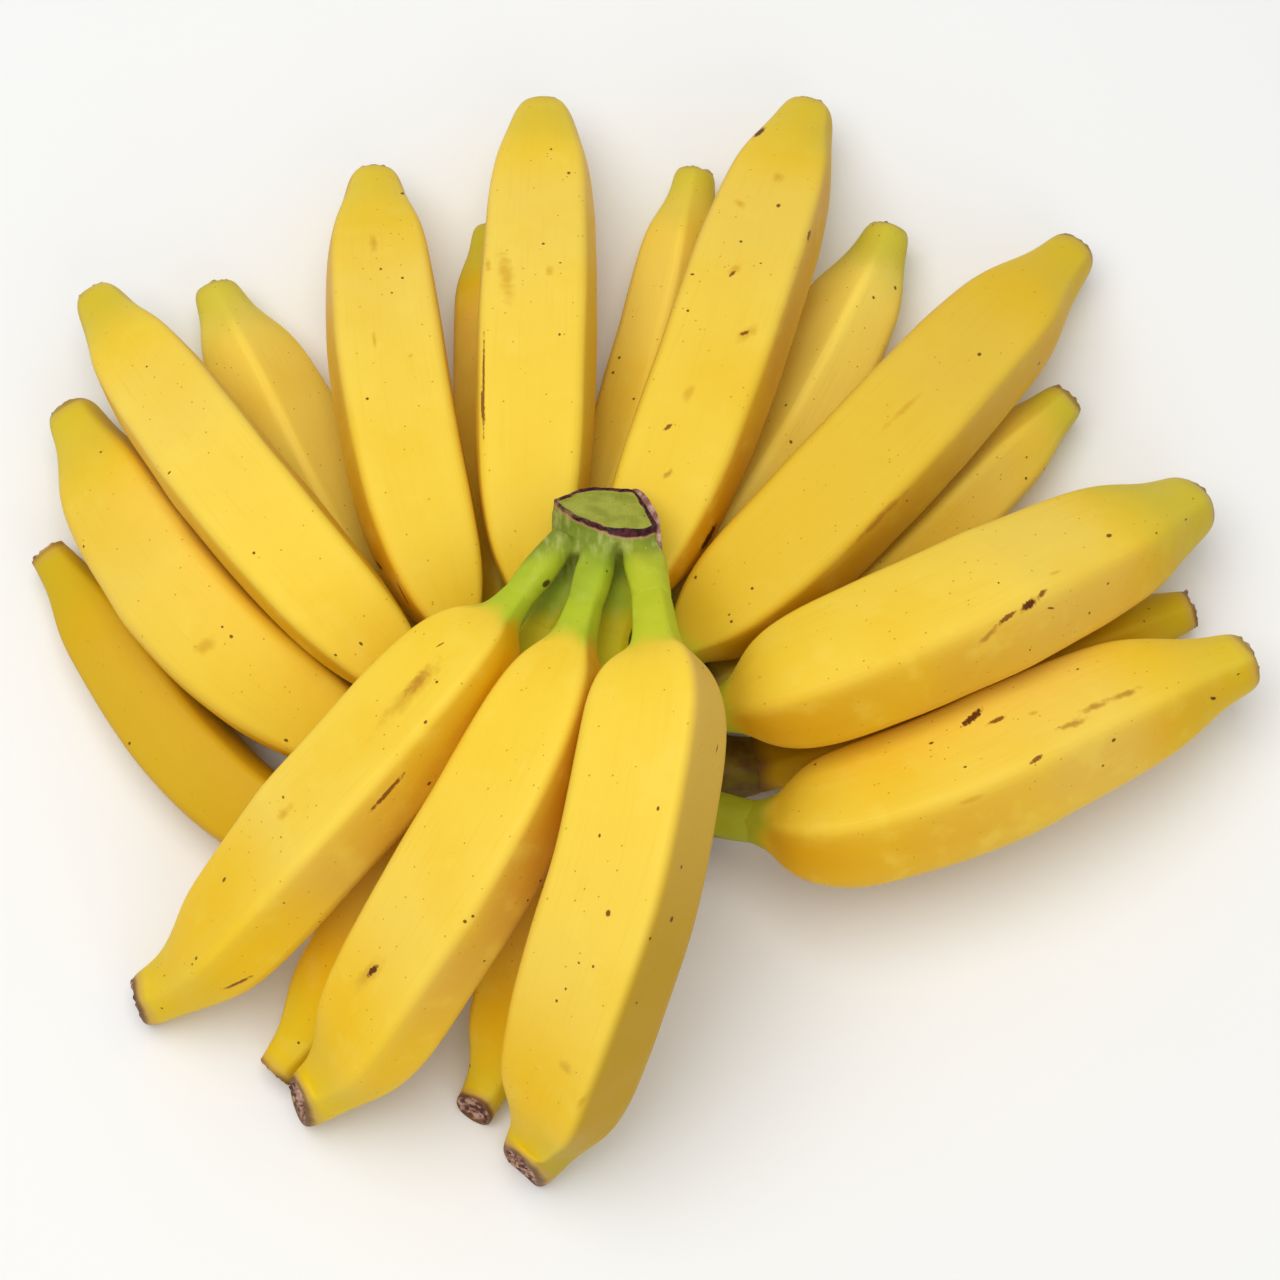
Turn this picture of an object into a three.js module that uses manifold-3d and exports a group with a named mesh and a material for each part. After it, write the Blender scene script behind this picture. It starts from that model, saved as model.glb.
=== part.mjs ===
// A bunch of bananas lying on a table: a large hand of fifteen fruits, fanned out from its arched crown,
// and a small cut hand of five that lies across it. Every fruit is one solid with its stalk, and each
// crown is the cushion of stem that its fruits grow from.
//
// Millimetres. +Z is up from the table, +Y points the way the large hand's fruits reach, and the origin is
// on the table under the middle of the bunch.
import * as THREE from "three";
import { mergeVertices } from "three/addons/utils/BufferGeometryUtils.js";
import Module from "manifold-3d";

const wasm = await Module();
wasm.setup();

// ---- Driving dimensions -------------------------------------------------------------------------------

const HALF_WIDTH = 18.6; // a fruit with a girth of 1, from its middle line to its side face
const STALK_RADIUS = 5.6; // no stalk is thinner than this where it leaves its crown
const ROOT_RADIUS = 4.2; // the end of a stalk, inside the crown
const SKIN_GAP = 0.35; // clear space between pieces that touch
const SETTLE = 0.8; // how deep the lowest skins are pressed flat against the table

// The large crown is a strip bent into an arch that leans away from the front.
const ARCH = { span: 34, lean: 41, rise: 19 }; // half its span, how far back its top is, how high above its feet
const ARCH_FOOT = new THREE.Vector3(-21, -65, 15); // the middle of the line between the arch's two feet
const ROW_STEP = 6.5; // from the arch's middle line to either of its two rows of stalks
const LARGE_CROWN = { thick: 7.5, wide: 13 }; // half its thickness, and half its width across the rows

// The small crown is a wedge between the seat that its stalks leave and the face where it was cut off, which
// looks up and back. Both are rounded oblongs, given by their middle, the way back through them, and half
// their length and height.
const SMALL_SEAT = { middle: [-9, -11, 77], back: [0, 0.985, -0.17], long: 18, tall: 13 };
const SMALL_CUT = { middle: [-8.6, 5.7, 80], back: [0.14, 0.66, 0.75], long: 15, tall: 12 };
const STALK_ROOT_DEPTH = 7; // how far behind the seat its stalks start

// ---- A fruit's shape ----------------------------------------------------------------------------------

// Along a fruit: the share of its length from the crown, and the share of its full half-width there.
const PROFILE = [
  [0.0, 0.2],
  [0.08, 0.295],
  [0.145, 0.325],
  [0.17, 0.42],
  [0.19, 0.55],
  [0.215, 0.69],
  [0.25, 0.81],
  [0.3, 0.905],
  [0.37, 0.965],
  [0.46, 0.99],
  [0.56, 1.0],
  [0.67, 0.985],
  [0.77, 0.945],
  [0.84, 0.875],
  [0.885, 0.75],
  [0.92, 0.62],
  [0.95, 0.53],
  [0.98, 0.46],
  [1.0, 0.34],
];

// One fruit has a shorter neck than another, or a longer rise at its shoulder or taper to its tip.
const [NECK_END, SHOULDER_END, TAPER_START] = [0.14, 0.4, 0.6];
function stretched(share, neck, shoulderStretch, taperStretch) {
  if (share < NECK_END) return (share / NECK_END) * neck;
  if (share < SHOULDER_END) return neck + (share - NECK_END) * shoulderStretch;
  return share < TAPER_START ? share : 1 - (1 - share) * taperStretch;
}

// Round a fruit: the five flats of its skin, as the way each one faces from the outer flat and its
// distance from the middle line as a share of the half-width.
const FLATS = [
  [0, 0.86],
  [78, 1.0],
  [-78, 1.0],
  [146, 0.93],
  [-146, 0.93],
];
const RIDGE_SHARPNESS = 13; // a higher power leaves less rounding on the ridges between the flats
const SECTION_ANGLES = [0, 30, 48, 78, 110, 146, 180, -146, -110, -78, -48, -30];

// The distance from the middle line to the skin, as a share of the half-width, at an angle in degrees.
function skinReach(angle) {
  let sum = 0;
  for (const [facing, distance] of FLATS) {
    const slope = Math.cos(THREE.MathUtils.degToRad(angle - facing));
    if (slope > 0) sum += Math.pow(slope / distance, RIDGE_SHARPNESS);
  }
  return Math.pow(sum, -1 / RIDGE_SHARPNESS);
}

// ---- Solids ---------------------------------------------------------------------------------------------

// A closed surface over rings of points, each ring counterclockwise as seen from the last ring.
function loft(rings) {
  const sides = rings[0].length;
  const points = [...rings.flat(), centreOf(rings[0]), centreOf(rings.at(-1))];
  const first = points.length - 2;
  const last = points.length - 1;
  const faces = [];
  for (let side = 0; side < sides; side++) {
    const next = (side + 1) % sides;
    for (let row = 0; row < rings.length - 1; row++) {
      const low = row * sides;
      const high = low + sides;
      faces.push(low + side, low + next, high + next, low + side, high + next, high + side);
    }
    const top = (rings.length - 1) * sides;
    faces.push(first, next, side, last, top + side, top + next);
  }
  const geometry = new THREE.BufferGeometry().setFromPoints(points);
  geometry.setIndex(faces);
  return geometry;
}

function centreOf(ring) {
  return ring.reduce((sum, point) => sum.add(point), new THREE.Vector3()).divideScalar(ring.length);
}

function solidFrom(geometry) {
  const merged = mergeVertices(geometry.clone().deleteAttribute("normal").deleteAttribute("uv"), 1e-3);
  return new wasm.Manifold(
    new wasm.Mesh({
      numProp: 3,
      vertProperties: merged.attributes.position.array,
      triVerts: new Uint32Array(merged.index.array),
    }),
  );
}

function geometryFrom(solid) {
  const { vertProperties, triVerts, numProp } = solid.getMesh();
  const geometry = new THREE.BufferGeometry();
  const interleaved = new THREE.InterleavedBuffer(vertProperties, numProp);
  geometry.setAttribute("position", new THREE.InterleavedBufferAttribute(interleaved, 3, 0));
  geometry.setIndex(new THREE.BufferAttribute(triVerts, 1));
  const flat = geometry.toNonIndexed();
  flat.computeVertexNormals();
  return flat;
}

// The largest body of a cut solid, without the scraps.
function mainBody(solid) {
  return solid.decompose().reduce((most, body) => (body.volume() > most.volume() ? body : most));
}

// A piece let down onto the table, with its lowest skin pressed flat.
function settled(solid) {
  return mainBody(solid.translate([0, 0, -SETTLE]).trimByPlane([0, 0, 1], 0));
}

// ---- One fruit ------------------------------------------------------------------------------------------

// A fruit follows a curve from its root in the crown to its tip. It leaves the root towards the point leave,
// and arrives at the tip from the point arrive. Its outer flat faces up, turned by roll degrees about the
// curve, girth scales its width, neck is where its neck ends, and shoulder and taper stretch its two slopes.
function fruitSolid({ root, leave, arrive, tip, roll, girth, neck, shoulder, taper }) {
  const line = new THREE.CubicBezierCurve3(root, leave, arrive, tip);
  line.arcLengthDivisions = 200;
  const rings = PROFILE.map(([usualShare, width]) => {
    const share = stretched(usualShare, neck, shoulder, taper);
    const centre = line.getPointAt(share);
    const along = line.getTangentAt(share);
    const outer = new THREE.Vector3(0, 0, 1).projectOnPlane(along).normalize();
    outer.applyAxisAngle(along, THREE.MathUtils.degToRad(roll));
    const side = new THREE.Vector3().crossVectors(along, outer);
    const reach = Math.max(HALF_WIDTH * girth * width, share > 0 ? STALK_RADIUS : ROOT_RADIUS);
    return SECTION_ANGLES.map((angle) => {
      const turn = THREE.MathUtils.degToRad(angle);
      const distance = reach * skinReach(angle);
      return centre
        .clone()
        .addScaledVector(outer, distance * Math.cos(turn))
        .addScaledVector(side, distance * Math.sin(turn));
    });
  });
  return solidFrom(loft(rings));
}

// ---- The large hand -------------------------------------------------------------------------------------

// A point on the arch, from 180 degrees at its left foot over 90 at its top to 0 at its right foot.
function archPoint(angle) {
  const turn = THREE.MathUtils.degToRad(angle);
  const across = new THREE.Vector3(ARCH.span * Math.cos(turn), 0, 0);
  const over = new THREE.Vector3(0, ARCH.lean, ARCH.rise).multiplyScalar(Math.sin(turn));
  return ARCH_FOOT.clone().add(across).add(over);
}

// The way across the arch's two rows of stalks, from the lower row up to the upper one.
const upARow = new THREE.Vector3(0, -ARCH.rise, ARCH.lean).normalize();

const UPPER = 1;
const LOWER = -1;

const LARGE_HAND = [
  // name, row, place on the arch in degrees, leave, arrive, tip, roll, girth, neck, shoulder, taper
  ["far_left", UPPER, 190, [-120, -90, 16], [-144, -27, 15], [-180, 20, 11], -20, 0.73, 0.12, 1.1, 1.1],
  ["left_outer", UPPER, 169, [-119, -27, 35], [-130, -24, 49], [-175, 65, 16], 12, 0.98, 0.11, 1.15, 1.3],
  ["left_inner", UPPER, 148, [-86, -23, 74], [-125, 26, 66], [-168, 101, 22], 8, 0.88, 0.09, 1.1, 1.25],
  ["top_left", UPPER, 126, [-67, -1, 60], [-76, 65, 56], [-83, 146, 16], 5, 0.94, 0.085, 1.1, 1.15],
  ["top", UPPER, 104, [-32, 16, 63], [-29, 80, 61], [-30, 169, 19], -2, 0.94, 0.08, 1.15, 1.15],
  ["top_right", UPPER, 83, [16, 16, 62], [28, 83, 58], [55, 170, 16], -4, 0.97, 0.08, 1.05, 1.15],
  ["right_inner", UPPER, 61, [48, -3, 50], [85, 51, 56], [138, 122, 13], -6, 1.00, 0.08, 0.95, 1.3],
  ["right_outer", UPPER, 36, [59, -43, 70], [110, -13, 63], [169, 33, 21], -18, 1.12, 0.12, 0.8, 1.3],
  ["far_right", UPPER, 6, [76, -94, 40], [110, -47, 47], [181, -19, 25], -18, 1.12, 0.14, 0.75, 1.3],
  ["back_left", LOWER, 150, [-80, -5, 17], [-103, 50, 19], [-134, 107, 13], 45, 0.87, 0.11, 1, 1],
  ["back_top_left", LOWER, 120, [-44, 16, 17], [-38, 71, 17], [-45, 130, 12], 45, 0.82, 0.1, 1, 1],
  ["back_top", LOWER, 97, [-6, 28, 17], [14, 85, 18], [19, 149, 13], 45, 0.84, 0.14, 1, 1],
  ["back_top_right", LOWER, 73, [30, 15, 17], [55, 69, 18], [79, 129, 13], -45, 0.87, 0.14, 1, 1],
  ["back_right", LOWER, 47, [62, -20, 12], [90, 33, 18], [133, 71, 13], -45, 0.81, 0.11, 1, 1],
  ["back_far_right", LOWER, 16, [71, -53, 15], [115, -12, 16], [168, 2, 11], -30, 0.76, 0.14, 1, 1],
].map(([name, row, place, leave, arrive, tip, roll, girth, neck, shoulder, taper]) => ({
  name,
  root: archPoint(place).addScaledVector(upARow, row * ROW_STEP),
  leave: new THREE.Vector3(...leave),
  arrive: new THREE.Vector3(...arrive),
  tip: new THREE.Vector3(...tip),
  roll,
  girth,
  neck,
  shoulder,
  taper,
}));

// A rounded oblong with its two half-widths, as points counterclockwise from its first axis to its second.
function roundedOblong(half, otherHalf, corners) {
  return Array.from({ length: corners }, (_, corner) => {
    const turn = (2 * Math.PI * (corner + 0.5)) / corners;
    const squared = (value) => Math.sign(value) * Math.pow(Math.abs(value), 0.75);
    return [half * squared(Math.cos(turn)), otherHalf * squared(Math.sin(turn))];
  });
}

function largeCrownSolid(grown = 0) {
  const [start, end, steps] = [204, -22, 18];
  const rings = [];
  for (let step = 0; step <= steps; step++) {
    const angle = THREE.MathUtils.lerp(start, end, step / steps);
    const centre = archPoint(angle);
    const ahead = archPoint(angle - 1).sub(centre).normalize();
    const inward = new THREE.Vector3().crossVectors(ahead, upARow);
    const rounding = Math.pow(Math.sin((Math.PI * (step + 1)) / (steps + 2)), 0.3);
    const section = roundedOblong(
      LARGE_CROWN.thick * rounding + grown,
      LARGE_CROWN.wide * rounding + grown,
      10,
    );
    rings.push(
      section.map(([inside, up]) =>
        centre.clone().addScaledVector(inward, -inside).addScaledVector(upARow, up),
      ),
    );
  }
  return solidFrom(loft(rings));
}

// ---- The small hand -------------------------------------------------------------------------------------

const seatMiddle = new THREE.Vector3(...SMALL_SEAT.middle);
const seatBack = new THREE.Vector3(...SMALL_SEAT.back).normalize();
const seatUp = new THREE.Vector3(1, 0, 0).cross(seatBack);

const SMALL_HAND = [
  // name, place along and above the middle of the crown, leave, arrive, tip, roll, girth, neck, shoulder, taper
  ["small_left", -11, 5.5, [-55, -53, 84], [-92, -99, 79], [-145, -119, 6], 18, 0.96, 0.14, 1.25, 1.3],
  ["small_middle", -0.5, 5.5, [-22, -69, 93], [-51, -123, 88], [-97, -150, 14], 18, 0.96, 0.14, 1.3, 1.05],
  ["small_right", 10.5, 5.5, [17, -77, 111], [-8, -133, 100], [-33, -168, 7], 20, 1.02, 0.14, 0.85, 1],
  ["small_under_left", -5.5, -5.5, [-44, -51, 57], [-67, -97, 31], [-105, -140, 5], 10, 0.73, 0.14, 1, 1],
  ["small_under_right", 6.5, -5.5, [-14, -55, 60], [-25, -109, 48], [-47, -151, 6], 10, 0.68, 0.14, 1, 1],
].map(([name, along, above, leave, arrive, tip, roll, girth, neck, shoulder, taper]) => ({
  name,
  root: seatMiddle
    .clone()
    .addScaledVector(seatBack, STALK_ROOT_DEPTH)
    .addScaledVector(seatUp, above)
    .add(new THREE.Vector3(along, 0, 0)),
  leave: new THREE.Vector3(...leave),
  arrive: new THREE.Vector3(...arrive),
  tip: new THREE.Vector3(...tip),
  roll,
  girth,
  neck,
  shoulder,
  taper,
}));

function smallCrownSolid(grown = 0) {
  const cutMiddle = new THREE.Vector3(...SMALL_CUT.middle);
  const cutBack = new THREE.Vector3(...SMALL_CUT.back).normalize();
  const rings = [0, 0.25, 0.5, 0.75, 1].map((share) => {
    const back = seatBack.clone().lerp(cutBack, share).normalize();
    const right = new THREE.Vector3(1, 0, 0).projectOnPlane(back).normalize();
    const up = new THREE.Vector3().crossVectors(right, back);
    const middle = seatMiddle.clone().lerp(cutMiddle, share);
    middle.addScaledVector(back, share === 0 ? -grown : share === 1 ? grown : 0);
    const half = THREE.MathUtils.lerp(SMALL_SEAT.long, SMALL_CUT.long, share) + grown;
    const otherHalf = THREE.MathUtils.lerp(SMALL_SEAT.tall, SMALL_CUT.tall, share) + grown;
    return roundedOblong(half, otherHalf, 16).map(([along, above]) =>
      middle.clone().addScaledVector(right, -along).addScaledVector(up, above),
    );
  });
  return solidFrom(loft(rings));
}

// ---- The bunch ------------------------------------------------------------------------------------------

const YELLOW_SKIN = { color: 0xf2c335, roughness: 0.48, metalness: 0 };
const GREEN_STEM = { color: 0x8fa63c, roughness: 0.6, metalness: 0 };

function namedMesh(name, solid, look) {
  const mesh = new THREE.Mesh(geometryFrom(solid), new THREE.MeshStandardMaterial(look));
  mesh.name = name;
  return mesh;
}

const bunch = new THREE.Group();
for (const [crown, trim, fruits, name] of [
  [largeCrownSolid(), largeCrownSolid(SKIN_GAP), LARGE_HAND, "crown_large"],
  [smallCrownSolid(), smallCrownSolid(SKIN_GAP), SMALL_HAND, "crown_small"],
]) {
  bunch.add(namedMesh(name, settled(crown), GREEN_STEM));
  for (const fruit of fruits) {
    const solid = settled(mainBody(fruitSolid(fruit).subtract(trim)));
    bunch.add(namedMesh("banana_" + fruit.name, solid, YELLOW_SKIN));
  }
}

export default bunch;
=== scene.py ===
# %% [markdown]
# # A bunch of bananas
# A large hand of fifteen fruits lies fanned out on a table, and a small cut hand of five lies across its
# crown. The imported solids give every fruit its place. This lesson gives them skin: it models one straight
# fruit, bends a copy of it along each fruit's own line, grows both crowns around the stalks, and then builds
# the materials, the light and the camera.

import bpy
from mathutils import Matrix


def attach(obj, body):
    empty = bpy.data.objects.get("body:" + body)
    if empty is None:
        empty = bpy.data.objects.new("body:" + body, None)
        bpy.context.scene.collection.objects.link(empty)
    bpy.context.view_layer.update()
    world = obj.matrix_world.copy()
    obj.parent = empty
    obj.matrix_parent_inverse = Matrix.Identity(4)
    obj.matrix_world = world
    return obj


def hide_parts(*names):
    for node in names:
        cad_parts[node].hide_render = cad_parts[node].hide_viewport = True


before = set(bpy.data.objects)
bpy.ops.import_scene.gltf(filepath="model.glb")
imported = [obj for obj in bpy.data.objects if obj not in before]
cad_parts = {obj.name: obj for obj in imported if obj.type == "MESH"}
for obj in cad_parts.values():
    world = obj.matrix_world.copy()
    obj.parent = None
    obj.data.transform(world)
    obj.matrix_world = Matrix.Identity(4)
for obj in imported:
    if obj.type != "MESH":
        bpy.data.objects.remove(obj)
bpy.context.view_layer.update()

import math

import bpy
from mathutils import Matrix, Vector
from mathutils.noise import noise as noise_at

MM = 0.001
scene = bpy.context.scene

# %% [markdown]
# ## The line of every fruit
# A banana is a straight tube that gravity and light bent while it grew. One curve with two handles says it
# all: where the stalk leaves the crown, which way it sets off, which way it arrives, and where the tip is.
# These are the same lines, in millimetres, that the solids were built on. The numbers after them turn the
# outer flat of the skin about the line, scale the girth, and say where the neck ends and how far the
# shoulder and the taper are stretched. On a few fruits they say a little more than the plain solids do: a
# flat turned further to the front, or a longer neck that ends in a quicker shoulder.

# %% Lines of the large hand
HALF_WIDTH = 18.6
STALK_RADIUS = 5.6
ROOT_RADIUS = 4.2
SETTLE = 0.8

ARCH_FOOT = Vector((-21, -65, 15))
ARCH_SPAN, ARCH_LEAN, ARCH_RISE = 34, 41, 19
ROW_STEP = 6.5
up_a_row = Vector((0, -ARCH_RISE, ARCH_LEAN)).normalized()


def arch_point(degrees):
    """A point on the large crown's middle line, from 180 at its left foot to 0 at its right foot."""
    turn = math.radians(degrees)
    return ARCH_FOOT + Vector(
        (ARCH_SPAN * math.cos(turn), ARCH_LEAN * math.sin(turn), ARCH_RISE * math.sin(turn))
    )


UPPER, LOWER = 1, -1
LARGE_HAND = [
    # name, row, place on the arch in degrees, leave, arrive, tip, roll, girth, neck, shoulder, taper
    ("far_left", UPPER, 190, [-120, -90, 16], [-144, -27, 15], [-180, 20, 11], -20, 0.73, 0.12, 1.1, 1.1),
    ("left_outer", UPPER, 169, [-119, -27, 35], [-130, -24, 49], [-175, 65, 16], -18, 0.98, 0.11, 1.15, 1.3),
    ("left_inner", UPPER, 148, [-86, -23, 74], [-125, 26, 66], [-168, 101, 22], -7, 0.88, 0.09, 1.1, 1.25),
    ("top_left", UPPER, 126, [-67, -1, 60], [-76, 65, 56], [-83, 146, 16], 5, 0.94, 0.085, 1.1, 1.15),
    ("top", UPPER, 104, [-32, 16, 63], [-29, 80, 61], [-30, 169, 19], -2, 0.94, 0.08, 1.15, 1.15),
    ("top_right", UPPER, 83, [16, 16, 62], [28, 83, 58], [55, 170, 16], -4, 0.97, 0.08, 1.05, 1.15),
    ("right_inner", UPPER, 61, [48, -3, 50], [85, 51, 56], [138, 122, 13], -6, 1.00, 0.08, 0.95, 1.3),
    ("right_outer", UPPER, 36, [59, -43, 70], [110, -13, 63], [169, 33, 21], -23, 1.12, 0.12, 0.8, 1.3),
    ("far_right", UPPER, 6, [76, -94, 40], [110, -47, 47], [181, -19, 25], -28, 1.12, 0.14, 0.75, 1.3),
    ("back_left", LOWER, 150, [-80, -5, 17], [-103, 50, 19], [-132, 109, 13], 45, 0.87, 0.11, 1, 1),
    ("back_top_left", LOWER, 120, [-44, 16, 17], [-38, 71, 17], [-45, 130, 12], 45, 0.82, 0.1, 1, 1),
    ("back_top", LOWER, 97, [-6, 28, 17], [14, 85, 18], [19, 149, 13], 45, 0.84, 0.14, 1, 1),
    ("back_top_right", LOWER, 73, [30, 15, 17], [55, 69, 18], [79, 129, 13], -45, 0.87, 0.14, 1, 1),
    ("back_right", LOWER, 47, [62, -20, 12], [90, 33, 18], [133, 71, 13], -45, 0.81, 0.11, 1, 1),
    ("back_far_right", LOWER, 16, [71, -53, 15], [115, -12, 16], [168, 2, 11], -30, 0.76, 0.14, 1, 1),
]
fruits = {
    name: (arch_point(place) + up_a_row * ROW_STEP * row, *rest) for name, row, place, *rest in LARGE_HAND
}
print("large hand:", len(fruits), "fruits")

# %% Lines of the small hand
seat_middle = Vector((-9, -11, 77))
seat_back = Vector((0, 0.985, -0.17)).normalized()
seat_up = Vector((1, 0, 0)).cross(seat_back)
STALK_ROOT_DEPTH = 7

SMALL_HAND = [
    # name, place along and above the crown's middle, leave, arrive, tip, roll, girth, neck, shoulder, taper
    ("small_left", -11, 5.5, [-55, -53, 84], [-92, -99, 79], [-145, -119, 8], 25, 0.96, 0.14, 0.75, 1.3),
    ("small_middle", -0.5, 5.5, [-22, -69, 93], [-51, -123, 88], [-97, -150, 14], 18, 0.96, 0.15, 1.05, 1.05),
    ("small_right", 9.5, 5.5, [17, -77, 111], [-8, -133, 100], [-33, -168, 10], 20, 1.035, 0.175, 0.6, 1),
    ("small_under_left", -5.5, -5.5, [-44, -51, 57], [-67, -97, 31], [-105, -140, 7.5], 10, 0.73, 0.14, 1, 1),
    ("small_under_right", 6.5, -5.5, [-14, -55, 60], [-25, -109, 48], [-47, -151, 8], 10, 0.68, 0.14, 1, 1),
]
for name, along, above, *rest in SMALL_HAND:
    root = seat_middle + seat_back * STALK_ROOT_DEPTH + seat_up * above + Vector((along, 0, 0))
    fruits[name] = (root, *rest)
print("both hands:", len(fruits), "fruits")

# %% [markdown]
# ## One straight fruit
# Across, a banana is a pentagon with rounded ridges: a broad outer flat, two sides and two inner flats.
# Along, it has a thin stalk, a quick shoulder, a long belly and a taper to a blunt snout. It could be cut
# from a cylinder, but then the ridges would have to be carved. A pentagon whose corners are bevelled, pushed
# along and scaled ring by ring, has them from the start. It is modelled one unit long and one unit in
# half-width, so that each copy can be given its own size.

# %% The five ridges
FLATS = [(0, 0.81), (82, 1.0), (146, 0.93), (-146, 0.93), (-82, 1.0)]


def ridge_between(flat, other):
    """The point, across the fruit, where two flats would meet in a sharp ridge."""
    (facing, reach), (other_facing, other_reach) = flat, other
    a, b = math.radians(facing), math.radians(other_facing)
    spread = math.sin(b - a)
    up = (reach * math.sin(b) - other_reach * math.sin(a)) / spread
    side = (other_reach * math.cos(a) - reach * math.cos(b)) / spread
    return Vector((0, side, up))


def facing(point):
    """Which way a point across the fruit lies from its line, in radians from the outer flat."""
    return math.atan2(point.y, point.z)


ridges = [ridge_between(flat, other) for flat, other in zip(FLATS, FLATS[1:] + FLATS[:1])]
print("ridges at", [round(math.degrees(facing(ridge))) for ridge in ridges], "degrees")


# %% Small helpers for working as by hand
def start_piece():
    """Leaves nothing selected, so that an operator only acts on what comes next."""
    if bpy.context.mode != "OBJECT":
        bpy.ops.object.mode_set(mode="OBJECT")
    bpy.ops.object.select_all(action="DESELECT")


def new_piece(name, primitive, **settings):
    """Adds one of Blender's own shapes under a name."""
    start_piece()
    primitive(**settings)
    bpy.context.object.name = name
    return bpy.context.object


def take(piece):
    """Makes one object the selected and active one."""
    start_piece()
    piece.select_set(True)
    bpy.context.view_layer.objects.active = piece


def edit():
    bpy.ops.object.mode_set(mode="EDIT")


def edit_all(action="SELECT"):
    """Enters edit mode and selects the active object's whole mesh, or none of it."""
    edit()
    bpy.ops.mesh.select_all(action=action)


def done_editing():
    bpy.ops.object.mode_set(mode="OBJECT")


def face_outwards():
    """Turns every face of the active object outwards and leaves edit mode."""
    edit_all()
    bpy.ops.mesh.normals_make_consistent(inside=False)
    done_editing()


def select_faces(piece, wanted):
    """In edit mode, selects the faces for which wanted is true."""
    done_editing()
    for part in (piece.data.vertices, piece.data.edges, piece.data.polygons):
        part.foreach_set("select", [False] * len(part))
    for face in piece.data.polygons:
        face.select = wanted(face)
    edit()
    bpy.ops.mesh.select_mode(type="FACE")


def select_edges(piece, wanted):
    """In edit mode, selects the edges for which wanted is true."""
    edit()
    bpy.ops.mesh.select_mode(type="EDGE")
    edit_all("DESELECT")
    done_editing()
    for edge in piece.data.edges:
        edge.select = wanted(edge)
    edit()


def push(step, growth, middle):
    """Extrudes what is selected by a step and scales it about a point."""
    bpy.ops.mesh.extrude_region_move(TRANSFORM_OT_translate={"value": step})
    bpy.ops.transform.resize(value=growth, center_override=middle)


def cut_off(piece, place, direction):
    """Cuts off what lies beyond a plane and closes the cut."""
    take(piece)
    edit_all()
    bpy.ops.mesh.bisect(plane_co=place, plane_no=direction, use_fill=True, clear_outer=True)
    done_editing()


def round_off(piece):
    smooth = piece.modifiers.new("smooth", "SUBSURF")
    smooth.levels = smooth.render_levels = 2


def apply_modifiers(piece):
    take(piece)
    for modifier in list(piece.modifiers):
        bpy.ops.object.modifier_apply(modifier=modifier.name)


# %% Bevel the pentagon into the stalk's end
RIDGE_ROUNDING = 0.19
# the share of the length where a ring lies, and its half-width
PROFILE = [
    (0.0, 0.2), (0.04, 0.27), (0.08, 0.295), (0.145, 0.325), (0.17, 0.42), (0.19, 0.55),
    (0.215, 0.69), (0.25, 0.81), (0.3, 0.905), (0.37, 0.965), (0.46, 0.99), (0.56, 1.0),
    (0.67, 0.985), (0.77, 0.945), (0.84, 0.875), (0.885, 0.735), (0.92, 0.59), (0.95, 0.505),
    (0.975, 0.46), (0.99, 0.425), (0.998, 0.375), (1.0, 0.34),
]
circle, plane = bpy.ops.mesh.primitive_circle_add, bpy.ops.mesh.primitive_plane_add
across_x = (0, math.pi / 2, 0)
master = new_piece("straight_fruit", circle, vertices=5, radius=1, fill_type="NGON", rotation=across_x)
bpy.ops.object.transform_apply(location=False, rotation=True, scale=False)
corners = sorted(master.data.vertices, key=lambda corner: facing(corner.co))
for corner, ridge in zip(corners, sorted(ridges, key=facing)):
    corner.co = ridge
edit_all()
bpy.ops.mesh.bevel(offset=RIDGE_ROUNDING, segments=4, affect="VERTICES")


def on_a_flat(edge):
    """Whether an edge is a whole flat, and not a short piece of a rounded ridge."""
    a, b = (master.data.vertices[i].co for i in edge.vertices)
    return (a - b).length > 2 * RIDGE_ROUNDING


select_edges(master, on_a_flat)
bpy.ops.mesh.subdivide(number_cuts=2)
edit_all()
start_width = PROFILE[0][1]
bpy.ops.transform.resize(value=(1, start_width, start_width), center_override=(0, 0, 0))
print("points round the fruit:", len(master.data.vertices))

# %% Push the ring along the fruit
SNOUT_START, SNOUT_ROUNDING = 0.88, 0.35


def push_ring(ring, next_ring):
    """Takes the selected ring on to the next share of the length and the next width."""
    (share, width), (next_share, next_width) = ring, next_ring
    growth = next_width / width
    push((next_share - share, 0, 0), (1, growth, growth), (next_share, 0, 0))


bpy.ops.mesh.select_mode(type="FACE")
edit_all()
for ring, next_ring in zip(PROFILE, PROFILE[1:]):
    push_ring(ring, next_ring)
    if next_ring[0] > SNOUT_START:
        bpy.ops.transform.tosphere(value=SNOUT_ROUNDING)
print("rings along the fruit:", len(PROFILE))

# %% [markdown]
# The flower dropped off the tip and left a scar: a corky disc with a raised edge, a hollow and a small nub
# in it. Insets of the end face would fold over at the five small corners, so more rings make it, drawn in
# towards the middle. Poking the end faces then closes both ends with a fan instead of one wide face.

# %% The scar at the tip
NOTHING = 1e-6
SCAR = [
    # share of the length and half-width, as in the profile
    (1.001, 0.31), (1.0005, 0.28), (0.997, 0.25), (0.996, 0.16), (0.9975, 0.1), (1.0, 0.07), (1.0005, 0.03),
]
for ring, next_ring in zip([PROFILE[-1], *SCAR], SCAR):
    push_ring(ring, next_ring)
bpy.ops.mesh.poke()
select_faces(master, lambda face: face.center.x < NOTHING)
bpy.ops.mesh.poke()
face_outwards()
open_edges = len(master.data.edges) * 2 - sum(len(face.vertices) for face in master.data.polygons)
print("straight fruit:", len(master.data.polygons), "faces,", open_edges, "open edges")

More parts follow.
